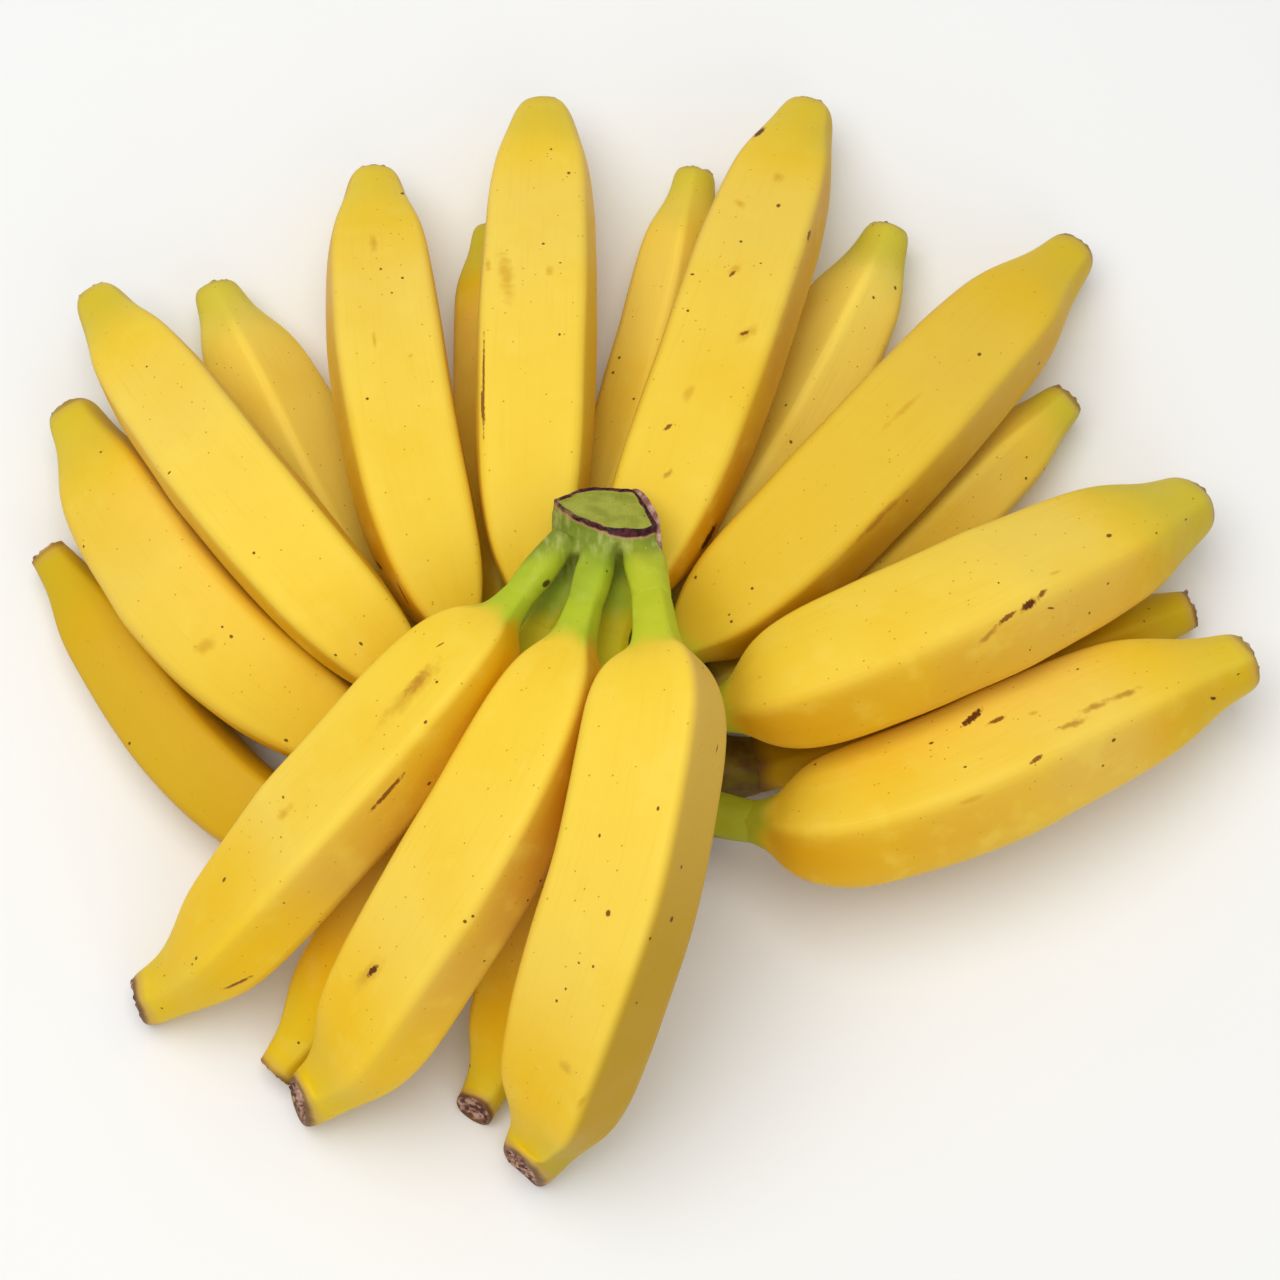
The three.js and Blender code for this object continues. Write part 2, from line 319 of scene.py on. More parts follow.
# %% [markdown]
# ## Where on the skin
# The finish follows the skin: stalks are green, ridges stay green longest, the scar is brown. So the
# straight fruit is unrolled while that is still easy: u runs once round it, with the seam underneath, and v
# runs from the stalk to the tip. Two named attributes keep what the materials ask for later.

# %% Unroll the skin and mark its ridges and scar
RIDGE_HALF_SPREAD = 17
SCAR_START, SCAR_HALF_WIDTH = 0.985, 0.32
ridge_degrees = [math.degrees(facing(ridge)) for ridge in ridges]
skin_map = master.data.uv_layers.new(name="skin")


def degrees_round(point):
    """How far round the fruit a point lies: 0 on the outer flat, 90 on the right as seen from the stalk."""
    return math.degrees(math.atan2(-point.y, point.z))


def nearest_turn(degrees, to):
    """The same direction, written within half a turn of another."""
    return to + (degrees - to + 180) % 360 - 180


for face in master.data.polygons:
    middle = degrees_round(face.center)
    for loop, index in zip(face.loop_indices, face.vertices):
        point = master.data.vertices[index].co
        on_line = math.hypot(point.y, point.z) < NOTHING
        across = middle if on_line else nearest_turn(degrees_round(point), middle)
        skin_map.data[loop].uv = (across / 360 + 0.5, min(1, point.x))

ridge_mark = master.data.attributes.new("ridge", "FLOAT", "POINT")
scar_mark = master.data.attributes.new("scar", "FLOAT", "POINT")
for vertex in master.data.vertices:
    degrees = degrees_round(vertex.co)
    off_ridge = min(abs(nearest_turn(degrees, ridge) - ridge) for ridge in ridge_degrees)
    ridge_mark.data[vertex.index].value = max(0, 1 - off_ridge / RIDGE_HALF_SPREAD)
    on_end = vertex.co.x > SCAR_START and math.hypot(vertex.co.y, vertex.co.z) < SCAR_HALF_WIDTH
    scar_mark.data[vertex.index].value = 1.0 if on_end else 0.0
print("marked", sum(1 for mark in scar_mark.data if mark.value > 0), "points as scar")

# %% [markdown]
# ## Copies, bent along their lines
# The Curve modifier bends a straight piece along a curve, and keeps its up side up if the curve's twist
# follows Z. Each copy first gets its own length, girth and shoulder. Its stalk is made rounder, and so are
# the ridges of the ripest fruits, whose skin has slackened. Some snouts are blunter than others, and those
# of the small hand turn up, so that their scars lean back. Then the modifier bends the copy, a Subdivision
# Surface rounds it and a slow cloud pattern pushes the skin in and out by a few tenths of a millimetre,
# because no fruit is as even as its drawing. What would reach below the table is pressed flat on it.

# %% How one copy differs from the next
NECK_END, SHOULDER_END, TAPER_START = 0.14, 0.4, 0.6
ROOT_END = 0.08
PRESSED = 1.5 * MM


def stretched(share, neck, shoulder, taper):
    """Where a ring of the usual fruit lies on one with another neck, shoulder or taper."""
    if share < NECK_END:
        return share / NECK_END * neck
    if share < SHOULDER_END:
        return neck + (share - NECK_END) * shoulder
    return share if share < TAPER_START else 1 - (1 - share) * taper


def usual_width(share):
    """The profile's width between its listed rings."""
    for (low, width), (high, next_width) in zip(PROFILE, PROFILE[1:]):
        if share <= high:
            return width + (next_width - width) * max(0, share - low) / (high - low)
    return PROFILE[-1][1]


def least_reach(share):
    """No stalk is thinner than this, in millimetres."""
    return ROOT_RADIUS + (STALK_RADIUS - ROOT_RADIUS) * min(1, share / ROOT_END)


def above_table(height):
    """A height that never falls below the table: the last stretch down to it is pressed together."""
    return height if height > PRESSED else PRESSED * math.exp(height / PRESSED - 1)


def eased(value, start, end):
    """0 at start, 1 at end, and smooth between them."""
    position = min(1, max(0, (value - start) / (end - start)))
    return position * position * (3 - 2 * position)


TURNED_UP = {
    # how many degrees the snout turns up, and how far its scar leans back towards the outer flat
    "small_left": (20, 36),
    "small_middle": (28, 50),
    "small_right": (28, 54),
    "small_under_left": (10, 2),
    "small_under_right": (24, 36),
}
USUAL_TURN = (6, 8)
SNOUT_TURN_START = 0.62
STALK_GIRTHS = {
    "small_left": 0.84, "small_middle": 0.92, "small_right": 1.02, "back_far_right": 1.7, "back_right": 1.3,
}
BLUNT_SNOUTS = {
    "top": 0.75, "top_right": 0.4, "top_left": 0.35, "right_outer": 0.3, "left_inner": 0.25,
    "back_top": -0.3,
}
SOFT_RIDGES = {"far_left": 0.4, "left_outer": 0.4, "right_outer": 0.35, "far_right": 0.2}
ROUND_STALKS = 0.7
BLUNT_GROWTH = 0.32
# shares of the length over which one measure passes into the next
STALK_TO_SHOULDER, ROUND_TO_RIDGED, RIDGED_TO_SNOUT = (0.13, 0.2), (0.12, 0.2), (0.88, 0.96)
TAPER_TO_SNOUT, SNOUT_TO_SCAR, LEANING_SCAR = (0.84, 0.94), (0.96, 1.0), (0.94, 1.0)
UNEVEN = 0.9 * MM
CRUMBS_TO_THE_METRE = 550
SCAR_ROUGH = 1.1 * MM
slow_waves = bpy.data.textures.new("slow_waves", "CLOUDS")
slow_waves.noise_scale = 0.032
slow_waves.noise_depth = 1


# %% The line as a curve
def line_curve(name, root, leave, arrive, tip, roll):
    """The fruit's line as a Bezier curve of two points, in metres."""
    data = bpy.data.curves.new(name, "CURVE")
    data.dimensions = "3D"
    data.twist_mode = "Z_UP"
    data.resolution_u = 64
    spline = data.splines.new("BEZIER")
    spline.bezier_points.add(1)
    for point, place, before, after in (
        (spline.bezier_points[0], root, root * 2 - leave, leave),
        (spline.bezier_points[1], tip, arrive, tip * 2 - arrive),
    ):
        point.handle_left_type = point.handle_right_type = "FREE"
        point.co, point.handle_left, point.handle_right = place, before, after
        point.tilt = math.radians(roll)
    line = bpy.data.objects.new(name, data)
    scene.collection.objects.link(line)
    return line, spline.calc_length()


def bend_along(piece, line):
    """Bends a straight piece that lies along X."""
    bend = piece.modifiers.new("bend", "CURVE")
    bend.object = line
    bend.deform_axis = "POS_X"


# %% Give one copy its own measures
def shape_copy(fruit, name, length, roll, girth, neck, shoulder, taper):
    """Stretches the straight fruit to its length and girth, and turns its snout up."""
    stalk, blunt, soft = STALK_GIRTHS.get(name, 1), BLUNT_SNOUTS.get(name, 0), SOFT_RIDGES.get(name, 0)
    lift, lean = (math.tan(math.radians(turn)) for turn in TURNED_UP.get(name, USUAL_TURN))
    rolled = math.radians(roll)
    turn_start = stretched(SNOUT_TURN_START, neck, shoulder, taper) * length
    snout = length - turn_start
    for vertex in fruit.data.vertices:
        share = vertex.co.x
        width = usual_width(share)
        reach = max(HALF_WIDTH * girth * width, least_reach(share)) * MM / width
        reach *= stalk + (1 - stalk) * eased(share, *STALK_TO_SHOULDER)
        swollen = BLUNT_GROWTH * blunt * eased(share, *TAPER_TO_SNOUT)
        reach *= 1 + swollen * (1 - 0.5 * eased(share, *SNOUT_TO_SCAR))
        off_line = math.hypot(vertex.co.y, vertex.co.z)
        if off_line > NOTHING:
            rounder = max(
                soft * (1 - eased(share, *RIDGED_TO_SNOUT)),
                ROUND_STALKS * (1 - eased(share, *ROUND_TO_RIDGED)),
            )
            reach *= 1 + rounder * (width / off_line - 1)
        along = stretched(share, neck, shoulder, taper) * length
        across, out = vertex.co.y * reach, vertex.co.z * reach
        t = max(0, (along - turn_start) / snout)
        slope = math.atan(lift * (3 * t * t - 2 * t))
        upward = out * math.cos(rolled) + across * math.sin(rolled)
        along -= out * math.sin(slope) + upward * lean * eased(share, *LEANING_SCAR)
        vertex.co = (along, across, snout * lift * (t**3 - t * t) + out * math.cos(slope))


# %% [markdown]
# The crown and the stalks share one skin, so every fruit also lends the crown a copy of its stalk's first
# stretch, a little thicker at the start and thinner at the end. Under it, the fruit's own skin is drawn in,
# so that it comes out from below the copy all round, without a step.

# %% Bend one copy and its stub
STUB_LENGTH = 24 * MM
STUB_SWELL, STUB_SHRINK = 0.16, 1.35
STUB_EVEN = 0.35 * STUB_LENGTH
HIDDEN_SHARE, HIDDEN_END = 0.4, 0.78 * STUB_LENGTH


def fatten(piece, growth_at):
    """Scales a straight piece about its line, by an amount that depends on the place along it."""
    for vertex in piece.data.vertices:
        growth = growth_at(vertex.co.x)
        vertex.co.y *= growth
        vertex.co.z *= growth


def settled(point):
    """A point given in millimetres, in metres, and as much lower as the bunch has settled."""
    return (Vector(point) - Vector((0, 0, SETTLE))) * MM


def stub_of(fruit, name):
    """A copy of the first stretch of a fruit that is still straight, swollen where it leaves the crown."""
    stub = bpy.data.objects.new("stub_" + name, fruit.data.copy())
    scene.collection.objects.link(stub)
    cut_off(stub, (STUB_LENGTH, 0, 0), (1, 0, 0))
    edit_all()
    bpy.ops.mesh.subdivide(number_cuts=2)
    done_editing()
    fatten(stub, lambda along: 1 + STUB_SWELL * (1 - STUB_SHRINK * eased(along, STUB_EVEN, STUB_LENGTH)))
    return stub


def bent_fruit(name, root, leave, arrive, tip, roll, *measures):
    """A fruit's skin and its stub, both bent along its line, and the line's length."""
    line, length = line_curve(name + "_line", *map(settled, (root, leave, arrive, tip)), roll)
    fruit = bpy.data.objects.new("skin_" + name, master.data.copy())
    scene.collection.objects.link(fruit)
    shape_copy(fruit, name, length, roll, *measures)
    stub = stub_of(fruit, name)
    bend_along(stub, line)
    apply_modifiers(stub)
    fatten(fruit, lambda along: 1 - (1 - HIDDEN_SHARE) * (1 - eased(along, STUB_EVEN, HIDDEN_END)))
    bend_along(fruit, line)
    round_off(fruit)
    uneven = fruit.modifiers.new("uneven", "DISPLACE")
    uneven.texture = slow_waves
    uneven.texture_coords = "LOCAL"
    uneven.strength = UNEVEN
    apply_modifiers(fruit)
    bpy.ops.object.shade_smooth()
    bpy.data.objects.remove(line)
    scar = [mark.value for mark in fruit.data.attributes["scar"].data]
    outwards = [vertex.normal.copy() for vertex in fruit.data.vertices]
    for vertex, on_scar, outward in zip(fruit.data.vertices, scar, outwards):
        if on_scar > 0:
            vertex.co += outward * noise_at(vertex.co * CRUMBS_TO_THE_METRE) * SCAR_ROUGH * on_scar
        vertex.co.z = above_table(vertex.co.z)
    return fruit, stub, length


# %% Bend them all
skins, stubs, lengths = {}, {}, {}
for name, shape in fruits.items():
    skins[name], stubs[name], lengths[name] = bent_fruit(name, *shape)
bpy.data.objects.remove(master)
print("fruit lengths in mm:", {name: round(length / MM) for name, length in lengths.items()})

# %% [markdown]
# ## The large crown
# All stalks of a hand grow out of one cushion of stem. This one is a strip, bent into an arch that leans
# back. It is drawn flat: an oblong ring is pushed along the arch and turned a little at every step, and the
# whole is then tipped up and moved to its place. A sweep would do as well, but steps let the ends round off.

# %% Push an oblong along the arch
CROWN_THICK, CROWN_WIDE = 7.5, 13
ARCH_REACH = math.hypot(ARCH_LEAN, ARCH_RISE)
ARCH_START, ARCH_END, ARCH_STEPS = 204, -22, 18
BLUNT_ENDS = 0.3


def flat_arch(step):
    """A point of the arch drawn flat, in metres, and the way it heads there, in radians."""
    turn = math.radians(ARCH_START + (ARCH_END - ARCH_START) * step / ARCH_STEPS)
    place = Vector((ARCH_SPAN * math.cos(turn), ARCH_REACH * math.sin(turn), 0)) * MM
    return place, math.atan2(-ARCH_REACH * math.cos(turn), ARCH_SPAN * math.sin(turn))


def end_rounding(step):
    """How much of its full size the oblong has at a step: less towards both ends."""
    return math.sin(math.pi * (step + 1) / (ARCH_STEPS + 2)) ** BLUNT_ENDS


place, heading = flat_arch(0)
upright = {"fill_type": "NGON", "location": place, "rotation": (math.pi / 2, 0, heading + math.pi / 2)}
large_crown = new_piece("stem_large", circle, vertices=16, radius=MM, **upright)
large_crown.scale = (CROWN_THICK * end_rounding(0), CROWN_WIDE * end_rounding(0), 1)
bpy.ops.object.transform_apply()
edit_all()
for step in range(1, ARCH_STEPS + 1):
    next_place, next_heading = flat_arch(step)
    growth = end_rounding(step) / end_rounding(step - 1)
    push(next_place - place, (growth, growth, growth), next_place)
    turn = (next_heading - heading + math.pi) % (2 * math.pi) - math.pi
    bpy.ops.transform.rotate(value=-turn, orient_axis="Z", center_override=next_place)
    place, heading = next_place, next_heading
face_outwards()
tipped_up = Matrix.Rotation(math.atan2(ARCH_RISE, ARCH_LEAN), 4, "X")
large_crown.data.transform(Matrix.Translation(settled(ARCH_FOOT)) @ tipped_up)
print("large crown spans", [round(side / MM) for side in large_crown.dimensions], "mm")

# %% [markdown]
# ## The small crown
# The small hand was cut from its stem with a knife. What is left is a wedge: a seat that the five stalks
# leave, and a flat cut face that looks up and back, uneven all round where the stem was. Both ends are rings
# of sixteen points, set one by one, and the skin between them is a bridge. The wedge is pushed on a little
# past the cut, so that the knife can be a bisect later, after everything has been smoothed.

# %% Two uneven rings
# along and up the cut face, in millimetres, from its left corner and over the top
CUT_OUTLINE = [
    (-15.4, 1.0), (-12.4, 5.6), (-10.0, 8.7), (-7.2, 11.4), (-3.3, 13.3), (2.4, 14.3), (8.6, 15.4),
    (10.4, 9.2), (12.6, 1.5), (14.9, -7.0), (11.1, -10.2), (6.9, -11.5), (1.2, -12.5),
    (-4.5, -9.7), (-9.8, -6.3), (-12.8, -2.8),
]
SEAT_REACH = (0.98, 0.9)
SEAT_DEPTH = 2
LEFT_CORNER, RIGHT_CORNER = 0, 9
cut_middle = settled((-8.6, 5.7, 80))
cut_back = Vector((0.14, 0.66, 0.75)).normalized()
cut_along = (Vector((1, 0, 0)) - cut_back * cut_back.x).normalized()
cut_up = cut_back.cross(cut_along)
seat_centre = settled(seat_middle + seat_back * SEAT_DEPTH)

cut_ring = [cut_middle + (cut_along * along + cut_up * up) * MM for along, up in CUT_OUTLINE]
seat_ring = [
    seat_centre + (Vector((along * SEAT_REACH[0], 0, 0)) - seat_up * up * SEAT_REACH[1]) * MM
    for along, up in CUT_OUTLINE
]
small_crown, seat = (
    new_piece(name, circle, vertices=len(CUT_OUTLINE), radius=MM) for name in ("stem_small", "seat")
)
for piece, outline in ((small_crown, cut_ring), (seat, seat_ring)):
    for vertex, point in zip(piece.data.vertices, outline):
        vertex.co = point
print("cut ring", round((cut_ring[RIGHT_CORNER] - cut_ring[LEFT_CORNER]).length / MM), "mm across")

# %% Bridge them
PAST_CUT = 3 * MM
NEAR_CUT = 4 * MM
take(small_crown)
seat.select_set(True)
bpy.ops.object.join()
edit_all()
bpy.ops.mesh.bridge_edge_loops(number_cuts=4, interpolation="PATH")
edit_all()
bpy.ops.mesh.fill_holes(sides=0)
bpy.ops.mesh.normals_make_consistent(inside=False)
select_faces(
    small_crown, lambda face: len(face.vertices) > 4 and (face.center - cut_middle).length < NEAR_CUT
)
bpy.ops.mesh.extrude_region_move(TRANSFORM_OT_translate={"value": cut_back * PAST_CUT})
face_outwards()
print("wedge:", len(small_crown.data.polygons), "faces")
print("wedge spans", [round(side / MM) for side in small_crown.dimensions], "mm")

# %% [markdown]
# ## Stalks that grow out of their crown
# Where a stalk leaves the crown there is no seam, only a soft hollow all round. Copies of every stalk's
# first stretch, a little thicker, are joined with the crown. A voxel remesh fuses them into one skin, and a
# Smooth modifier softens the hollows between them. The copies end just under the fruit's own skin.

# %% Fuse the stubs with the crowns
VOXEL = 0.8 * MM
CLEAR_OF_CUT = 3.5 * MM


def fused(crown, own_stubs, smoothing):
    """Makes a crown and the stubs that leave it into one skin."""
    take(crown)
    for stub in own_stubs:
        stub.select_set(True)
    bpy.ops.object.join()
    remesh = crown.modifiers.new("fuse", "REMESH")
    remesh.mode = "VOXEL"
    remesh.voxel_size = VOXEL
    soften = crown.modifiers.new("soften", "SMOOTH")
    soften.factor, soften.iterations = 0.5, smoothing
    apply_modifiers(crown)
    bpy.ops.object.shade_smooth()
    for vertex in crown.data.vertices:
        vertex.co.z = above_table(vertex.co.z)


large_hand = [name for name in fruits if not name.startswith("small_")]
small_hand = [name for name in fruits if name.startswith("small_")]
for name in small_hand:
    cut_off(stubs[name], cut_middle - cut_back * CLEAR_OF_CUT, cut_back)
fused(large_crown, [stubs[name] for name in large_hand], smoothing=12)
fused(small_crown, [stubs[name] for name in small_hand], smoothing=8)
print("crowns:", len(large_crown.data.polygons), "and", len(small_crown.data.polygons), "faces")

# %% [markdown]
# ## The cut
# A bisect is the knife. The fresh cut dried afterwards: its skin drew up into a thin dark lip and the pith
# sank a little inside it. Rings pushed inwards and down from the cut's edge give both. Insets would fold at
# the pointed corners, so each ring is the last one made smaller about the middle of the face. A little noise
# then frays the lip. Three marks on the points tell the finish later where bark, lip and fresh cut are.

# %% Cut the small crown
cut_off(small_crown, cut_middle, cut_back)
cut_face = max(small_crown.data.polygons, key=lambda face: len(face.vertices))
pith_middle = cut_face.center.copy()
skin_points = len(small_crown.data.vertices)
ring_points = len(cut_face.vertices)
print("cut face:", round(cut_face.area / MM**2), "mm2,", ring_points, "points round it")

# %% Dry its edge and sink its pith
CUT_RINGS = [
    # how much of the cut's size a ring has, and how far above the cut it lies, in millimetres
    (0.985, 0.35), (0.945, 0.45), (0.91, -0.1), (0.88, -0.45), (0.8, -0.6), (0.6, -0.45), (0.35, -0.5),
    (0.15, -0.7),
]
LIP_RINGS = 3
LIP_ROUGH = 0.9 * MM
FRAYS_TO_THE_METRE = 330
LIP_BELOW, BARK_BEHIND = (0.3, 3.2), (-8, 3)
select_faces(small_crown, lambda face: len(face.vertices) == ring_points)
for (size, height), (next_size, next_height) in zip([(1, 0), *CUT_RINGS], CUT_RINGS):
    rise, growth = cut_back * (next_height - height) * MM, next_size / size
    push(rise, (growth, growth, growth), pith_middle + cut_back * next_height * MM)
bpy.ops.mesh.poke()
face_outwards()
cut_mark, lip_mark, bark_mark = (
    small_crown.data.attributes.new(mark, "FLOAT", "POINT") for mark in ("cut", "lip", "bark")
)
for vertex in small_crown.data.vertices:
    ring = (vertex.index - skin_points) // ring_points
    if -1 <= ring < LIP_RINGS:
        outward = (vertex.co - pith_middle).normalized()
        vertex.co += outward * noise_at(vertex.co * FRAYS_TO_THE_METRE) * LIP_ROUGH
    below = -(vertex.co - cut_middle).dot(cut_back) / MM
    cut_mark.data[vertex.index].value = 1.0 if ring >= LIP_RINGS else 0.0
    lip_mark.data[vertex.index].value = 1 - eased(below, *LIP_BELOW) if ring < LIP_RINGS else 0.0
    behind = (vertex.co - seat_centre).dot(seat_back) / MM
    bark_mark.data[vertex.index].value = eased(behind, *BARK_BEHIND)
print("crown with its cut:", len(small_crown.data.polygons), "faces")

# %% [markdown]
# ## The torn strip
# Where the knife left the stem, it tore a strip of skin along the right edge of the cut. The strip dried
# pinkish brown and curls away. Its foot follows points found on the crown's own skin, and its free edge
# stands off along the skin's normal. It could be drawn as a curve with a bevel, but a strip whose last edge
# is pushed on, one step at a time, can change its width and its curl at every step.

# %% Tear the strip
STRIP = [
    # a point near the crown, in millimetres, then how wide the strip is there and how far it curls up
    ((-1.5, 17.5, 67.5), 0.5, 0.2),
    ((0.5, 14.5, 70.5), 1.1, 0.6),
    ((2.0, 11.0, 72.8), 1.5, 0.8),
    ((3.6, 6.8, 76.2), 1.2, 0.9),
    ((5.0, 2.5, 79.8), 1.6, 0.6),
    ((6.2, -1.5, 81.0), 1.2, 0.4),
    ((7.2, -5.5, 80.5), 1.0, 0.3),
    ((8.4, -9.5, 79.5), 0.8, 0.2),
    ((9.2, -13.0, 79.0), 0.3, 0.1),
]
STRIP_SINK, STRIP_THICK = 0.35 * MM, 0.6 * MM
LAST_EDGE = {2, 3}


def strip_edges(near, wide, curl):
    """The foot and the free edge of the strip at one step."""
    _, skin, normal, _ = small_crown.closest_point_on_mesh(Vector(near) * MM)
    return skin - normal * STRIP_SINK, skin + normal * wide * MM + cut_back * curl * MM


strip = new_piece("torn_strip", plane, size=MM)
first, second = strip_edges(*STRIP[0]), strip_edges(*STRIP[1])
for vertex, point in zip(strip.data.vertices, (*first, *second)):
    vertex.co = point
select_edges(strip, lambda edge: set(edge.vertices) == LAST_EDGE)
foot = second[0]
for step in STRIP[2:]:
    next_foot, next_free = strip_edges(*step)
    edit()
    bpy.ops.mesh.extrude_region_move(TRANSFORM_OT_translate={"value": next_foot - foot})
    done_editing()
    pushed = sorted(list(strip.data.vertices)[-2:], key=lambda vertex: (vertex.co - next_foot).length)
    pushed[0].co, pushed[1].co = next_foot, next_free
    foot = next_foot
thicken = strip.modifiers.new("thicken", "SOLIDIFY")
thicken.thickness, thicken.offset = STRIP_THICK, 0
round_off(strip)
apply_modifiers(strip)
face_outwards()
bpy.ops.object.shade_smooth()
print("torn strip:", len(strip.data.polygons), "faces,", round(max(strip.dimensions) / MM), "mm long")

# %% [markdown]
# ## Materials
# A banana's skin is satin, not glossy, and its colour tells its age. So every finish here is a stack: one
# ground colour, and then layer on layer laid over it by an amount that the place on the fruit decides. A few
# helpers keep such a stack readable: one adds a node and links its inputs, one lays a colour over another,
# one maps a value smoothly to an amount, and one measures how far a place lies from an oval mark. Pictures
# would be quicker, but they blur when one comes close.

# %% Helpers for building a material
def new_material(name):
    """Starts a material. Its tree is then the one at hand, to which all these helpers add."""
    global tree
    material = bpy.data.materials.new(name)
    material.use_nodes = True
    tree = material.node_tree
    return material, tree.nodes["Principled BSDF"]


def put(socket, value):
    """Sets a socket to a number or colour, or links another node's output to it."""
    if isinstance(value, bpy.types.NodeSocket):
        tree.links.new(value, socket)
    else:
        socket.default_value = value


def add(kind, inputs=None, **settings):
    """Adds a shader node, with its settings and what goes into its sockets."""
    node = tree.nodes.new("ShaderNode" + kind)
    for setting, value in settings.items():
        setattr(node, setting, value)
    for socket, value in (inputs or {}).items():
        put(node.inputs[socket], value)
    return node


def mixed(amount, under, over):
    """Lays one colour over another by an amount."""
    return add("Mix", {0: amount, 6: under, 7: over}, data_type="RGBA").outputs[2]


def stacked(ground, *layers):
    """Lays colours over a ground one after another, each by its own amount."""
    for amount, tone in layers:
        ground = mixed(amount, ground, tone)
    return ground


def ranged(value, low, high, out_low=0.0, out_high=1.0):
    """Maps a value smoothly from low..high to out_low..out_high."""
    inputs = {"Value": value, "From Min": low, "From Max": high, "To Min": out_low, "To Max": out_high}
    return add("MapRange", inputs, interpolation_type="SMOOTHSTEP").outputs[0]


def maths(operation, a, b=0.0):
    return add("Math", {0: a, 1: b}, operation=operation).outputs[0]


def times(a, b):
    return maths("MULTIPLY", a, b)


def plus(a, b):
    return maths("ADD", a, b)


def noise(vector, scale, detail=3.0):
    return add("TexNoise", {"Vector": vector, "Scale": scale, "Detail": detail}).outputs[0]


def swing(noisy, by):
    """Noise that lies around a half, as a swing of some width around nothing."""
    return times(maths("SUBTRACT", noisy, 0.5), by)


def attribute(name):
    """What an attribute says that was left on the points."""
    return add("Attribute", attribute_name=name).outputs["Fac"]


def freckles(place, scale, share, size):
    """Round specks scattered through the skin, in a share of the cells of a Voronoi pattern."""
    cells = add("TexVoronoi", {"Vector": place, "Scale": scale})
    chance = add("SeparateColor", {0: cells.outputs["Color"]}).outputs[0]
    chosen = maths("GREATER_THAN", chance, 1 - share)
    return times(chosen, ranged(cells.outputs["Distance"], size, size * 0.5))


def oval_reach(place, middle, turn, size):
    """How far a place lies from the middle of an oval, in such a measure that its edge is at 1."""
    oval = {"Vector": place, "Location": middle, "Rotation": (0, 0, math.radians(turn)), "Scale": size}
    own = add("Mapping", oval, vector_type="TEXTURE").outputs[0]
    return add("VectorMath", {0: own}, operation="LENGTH").outputs["Value"]


def pore_bump(shader, height, strength, depth):
    bump = add("Bump", {"Strength": strength, "Distance": depth, "Height": height})
    put(shader.inputs["Normal"], bump.outputs[0])


def colour(red, green, blue):
    """A colour given as it looks on a screen, from 0 to 255, turned into the amounts of light."""
    return tuple((value / 255) ** 2.2 for value in (red, green, blue)) + (1.0,)


# %% [markdown]
# ## Green where it grew, yellow where it ripened
# A ripe banana turns yellow from its belly outwards, and the stalk stays green longest. The stalks belong to
# the fruits' skins for most of their length and to the crowns for the rest, so both finishes take the same
# green from one helper. It reads the piece's place, so the pattern runs on across the joint between them.
# The stalks on the right of the bunch are a little yellower. The two lower stalks of the small hand lie in
# shade under the others, and a golden tone there is painted light.

# %% The green of stalks and crowns
STALK_GREEN, DEEPER_GREEN, GREEN_STREAK = colour(176, 192, 46), colour(148, 168, 42), colour(196, 206, 84)
# the golden stalk tone is painted light
YELLOW_GREEN, STALK_PAINTED_LIGHT = colour(206, 206, 44), colour(232, 202, 24)


def growing_green(place):
    """The stack that skins and stems share, from a place in metres."""
    patches, streaks = noise(place, 55.0, 2.0), noise(place, 190.0)
    right, back, up = add("SeparateXYZ", {0: place}).outputs
    # painted light: the small hand's lower stalks, which lie in shade under the others, are lighter and
    # golden here
    shaded_lower_stalks = times(ranged(up, 0.081, 0.073), ranged(up, 0.045, 0.055))
    return stacked(
        STALK_GREEN,
        (ranged(patches, 0.35, 0.65), DEEPER_GREEN),
        (ranged(right, -0.007, 0.001, 0, 0.5), YELLOW_GREEN),
        (times(shaded_lower_stalks, ranged(back, -0.019, -0.026, 0, 0.6)), STALK_PAINTED_LIGHT),
        (ranged(streaks, 0.55, 0.8, 0, 0.35), GREEN_STREAK),
    )


# %% [markdown]
# ## Bruises, scratches, scabs and specks
# No ripe fruit is clean. Each mark is an oval on the unrolled skin: how far round the fruit it lies, how far
# along, half its length and half its width in millimetres, and how far it leans from the fruit's length. A
# round mark needs no width, and one that lies along the fruit needs no lean. A Mapping node of the texture
# kind turns the skin's millimetres into the mark's own measure, in which its edge is at 1. Noise makes the
# edge ragged. Painting them on a picture would be easier, but it would not scale.

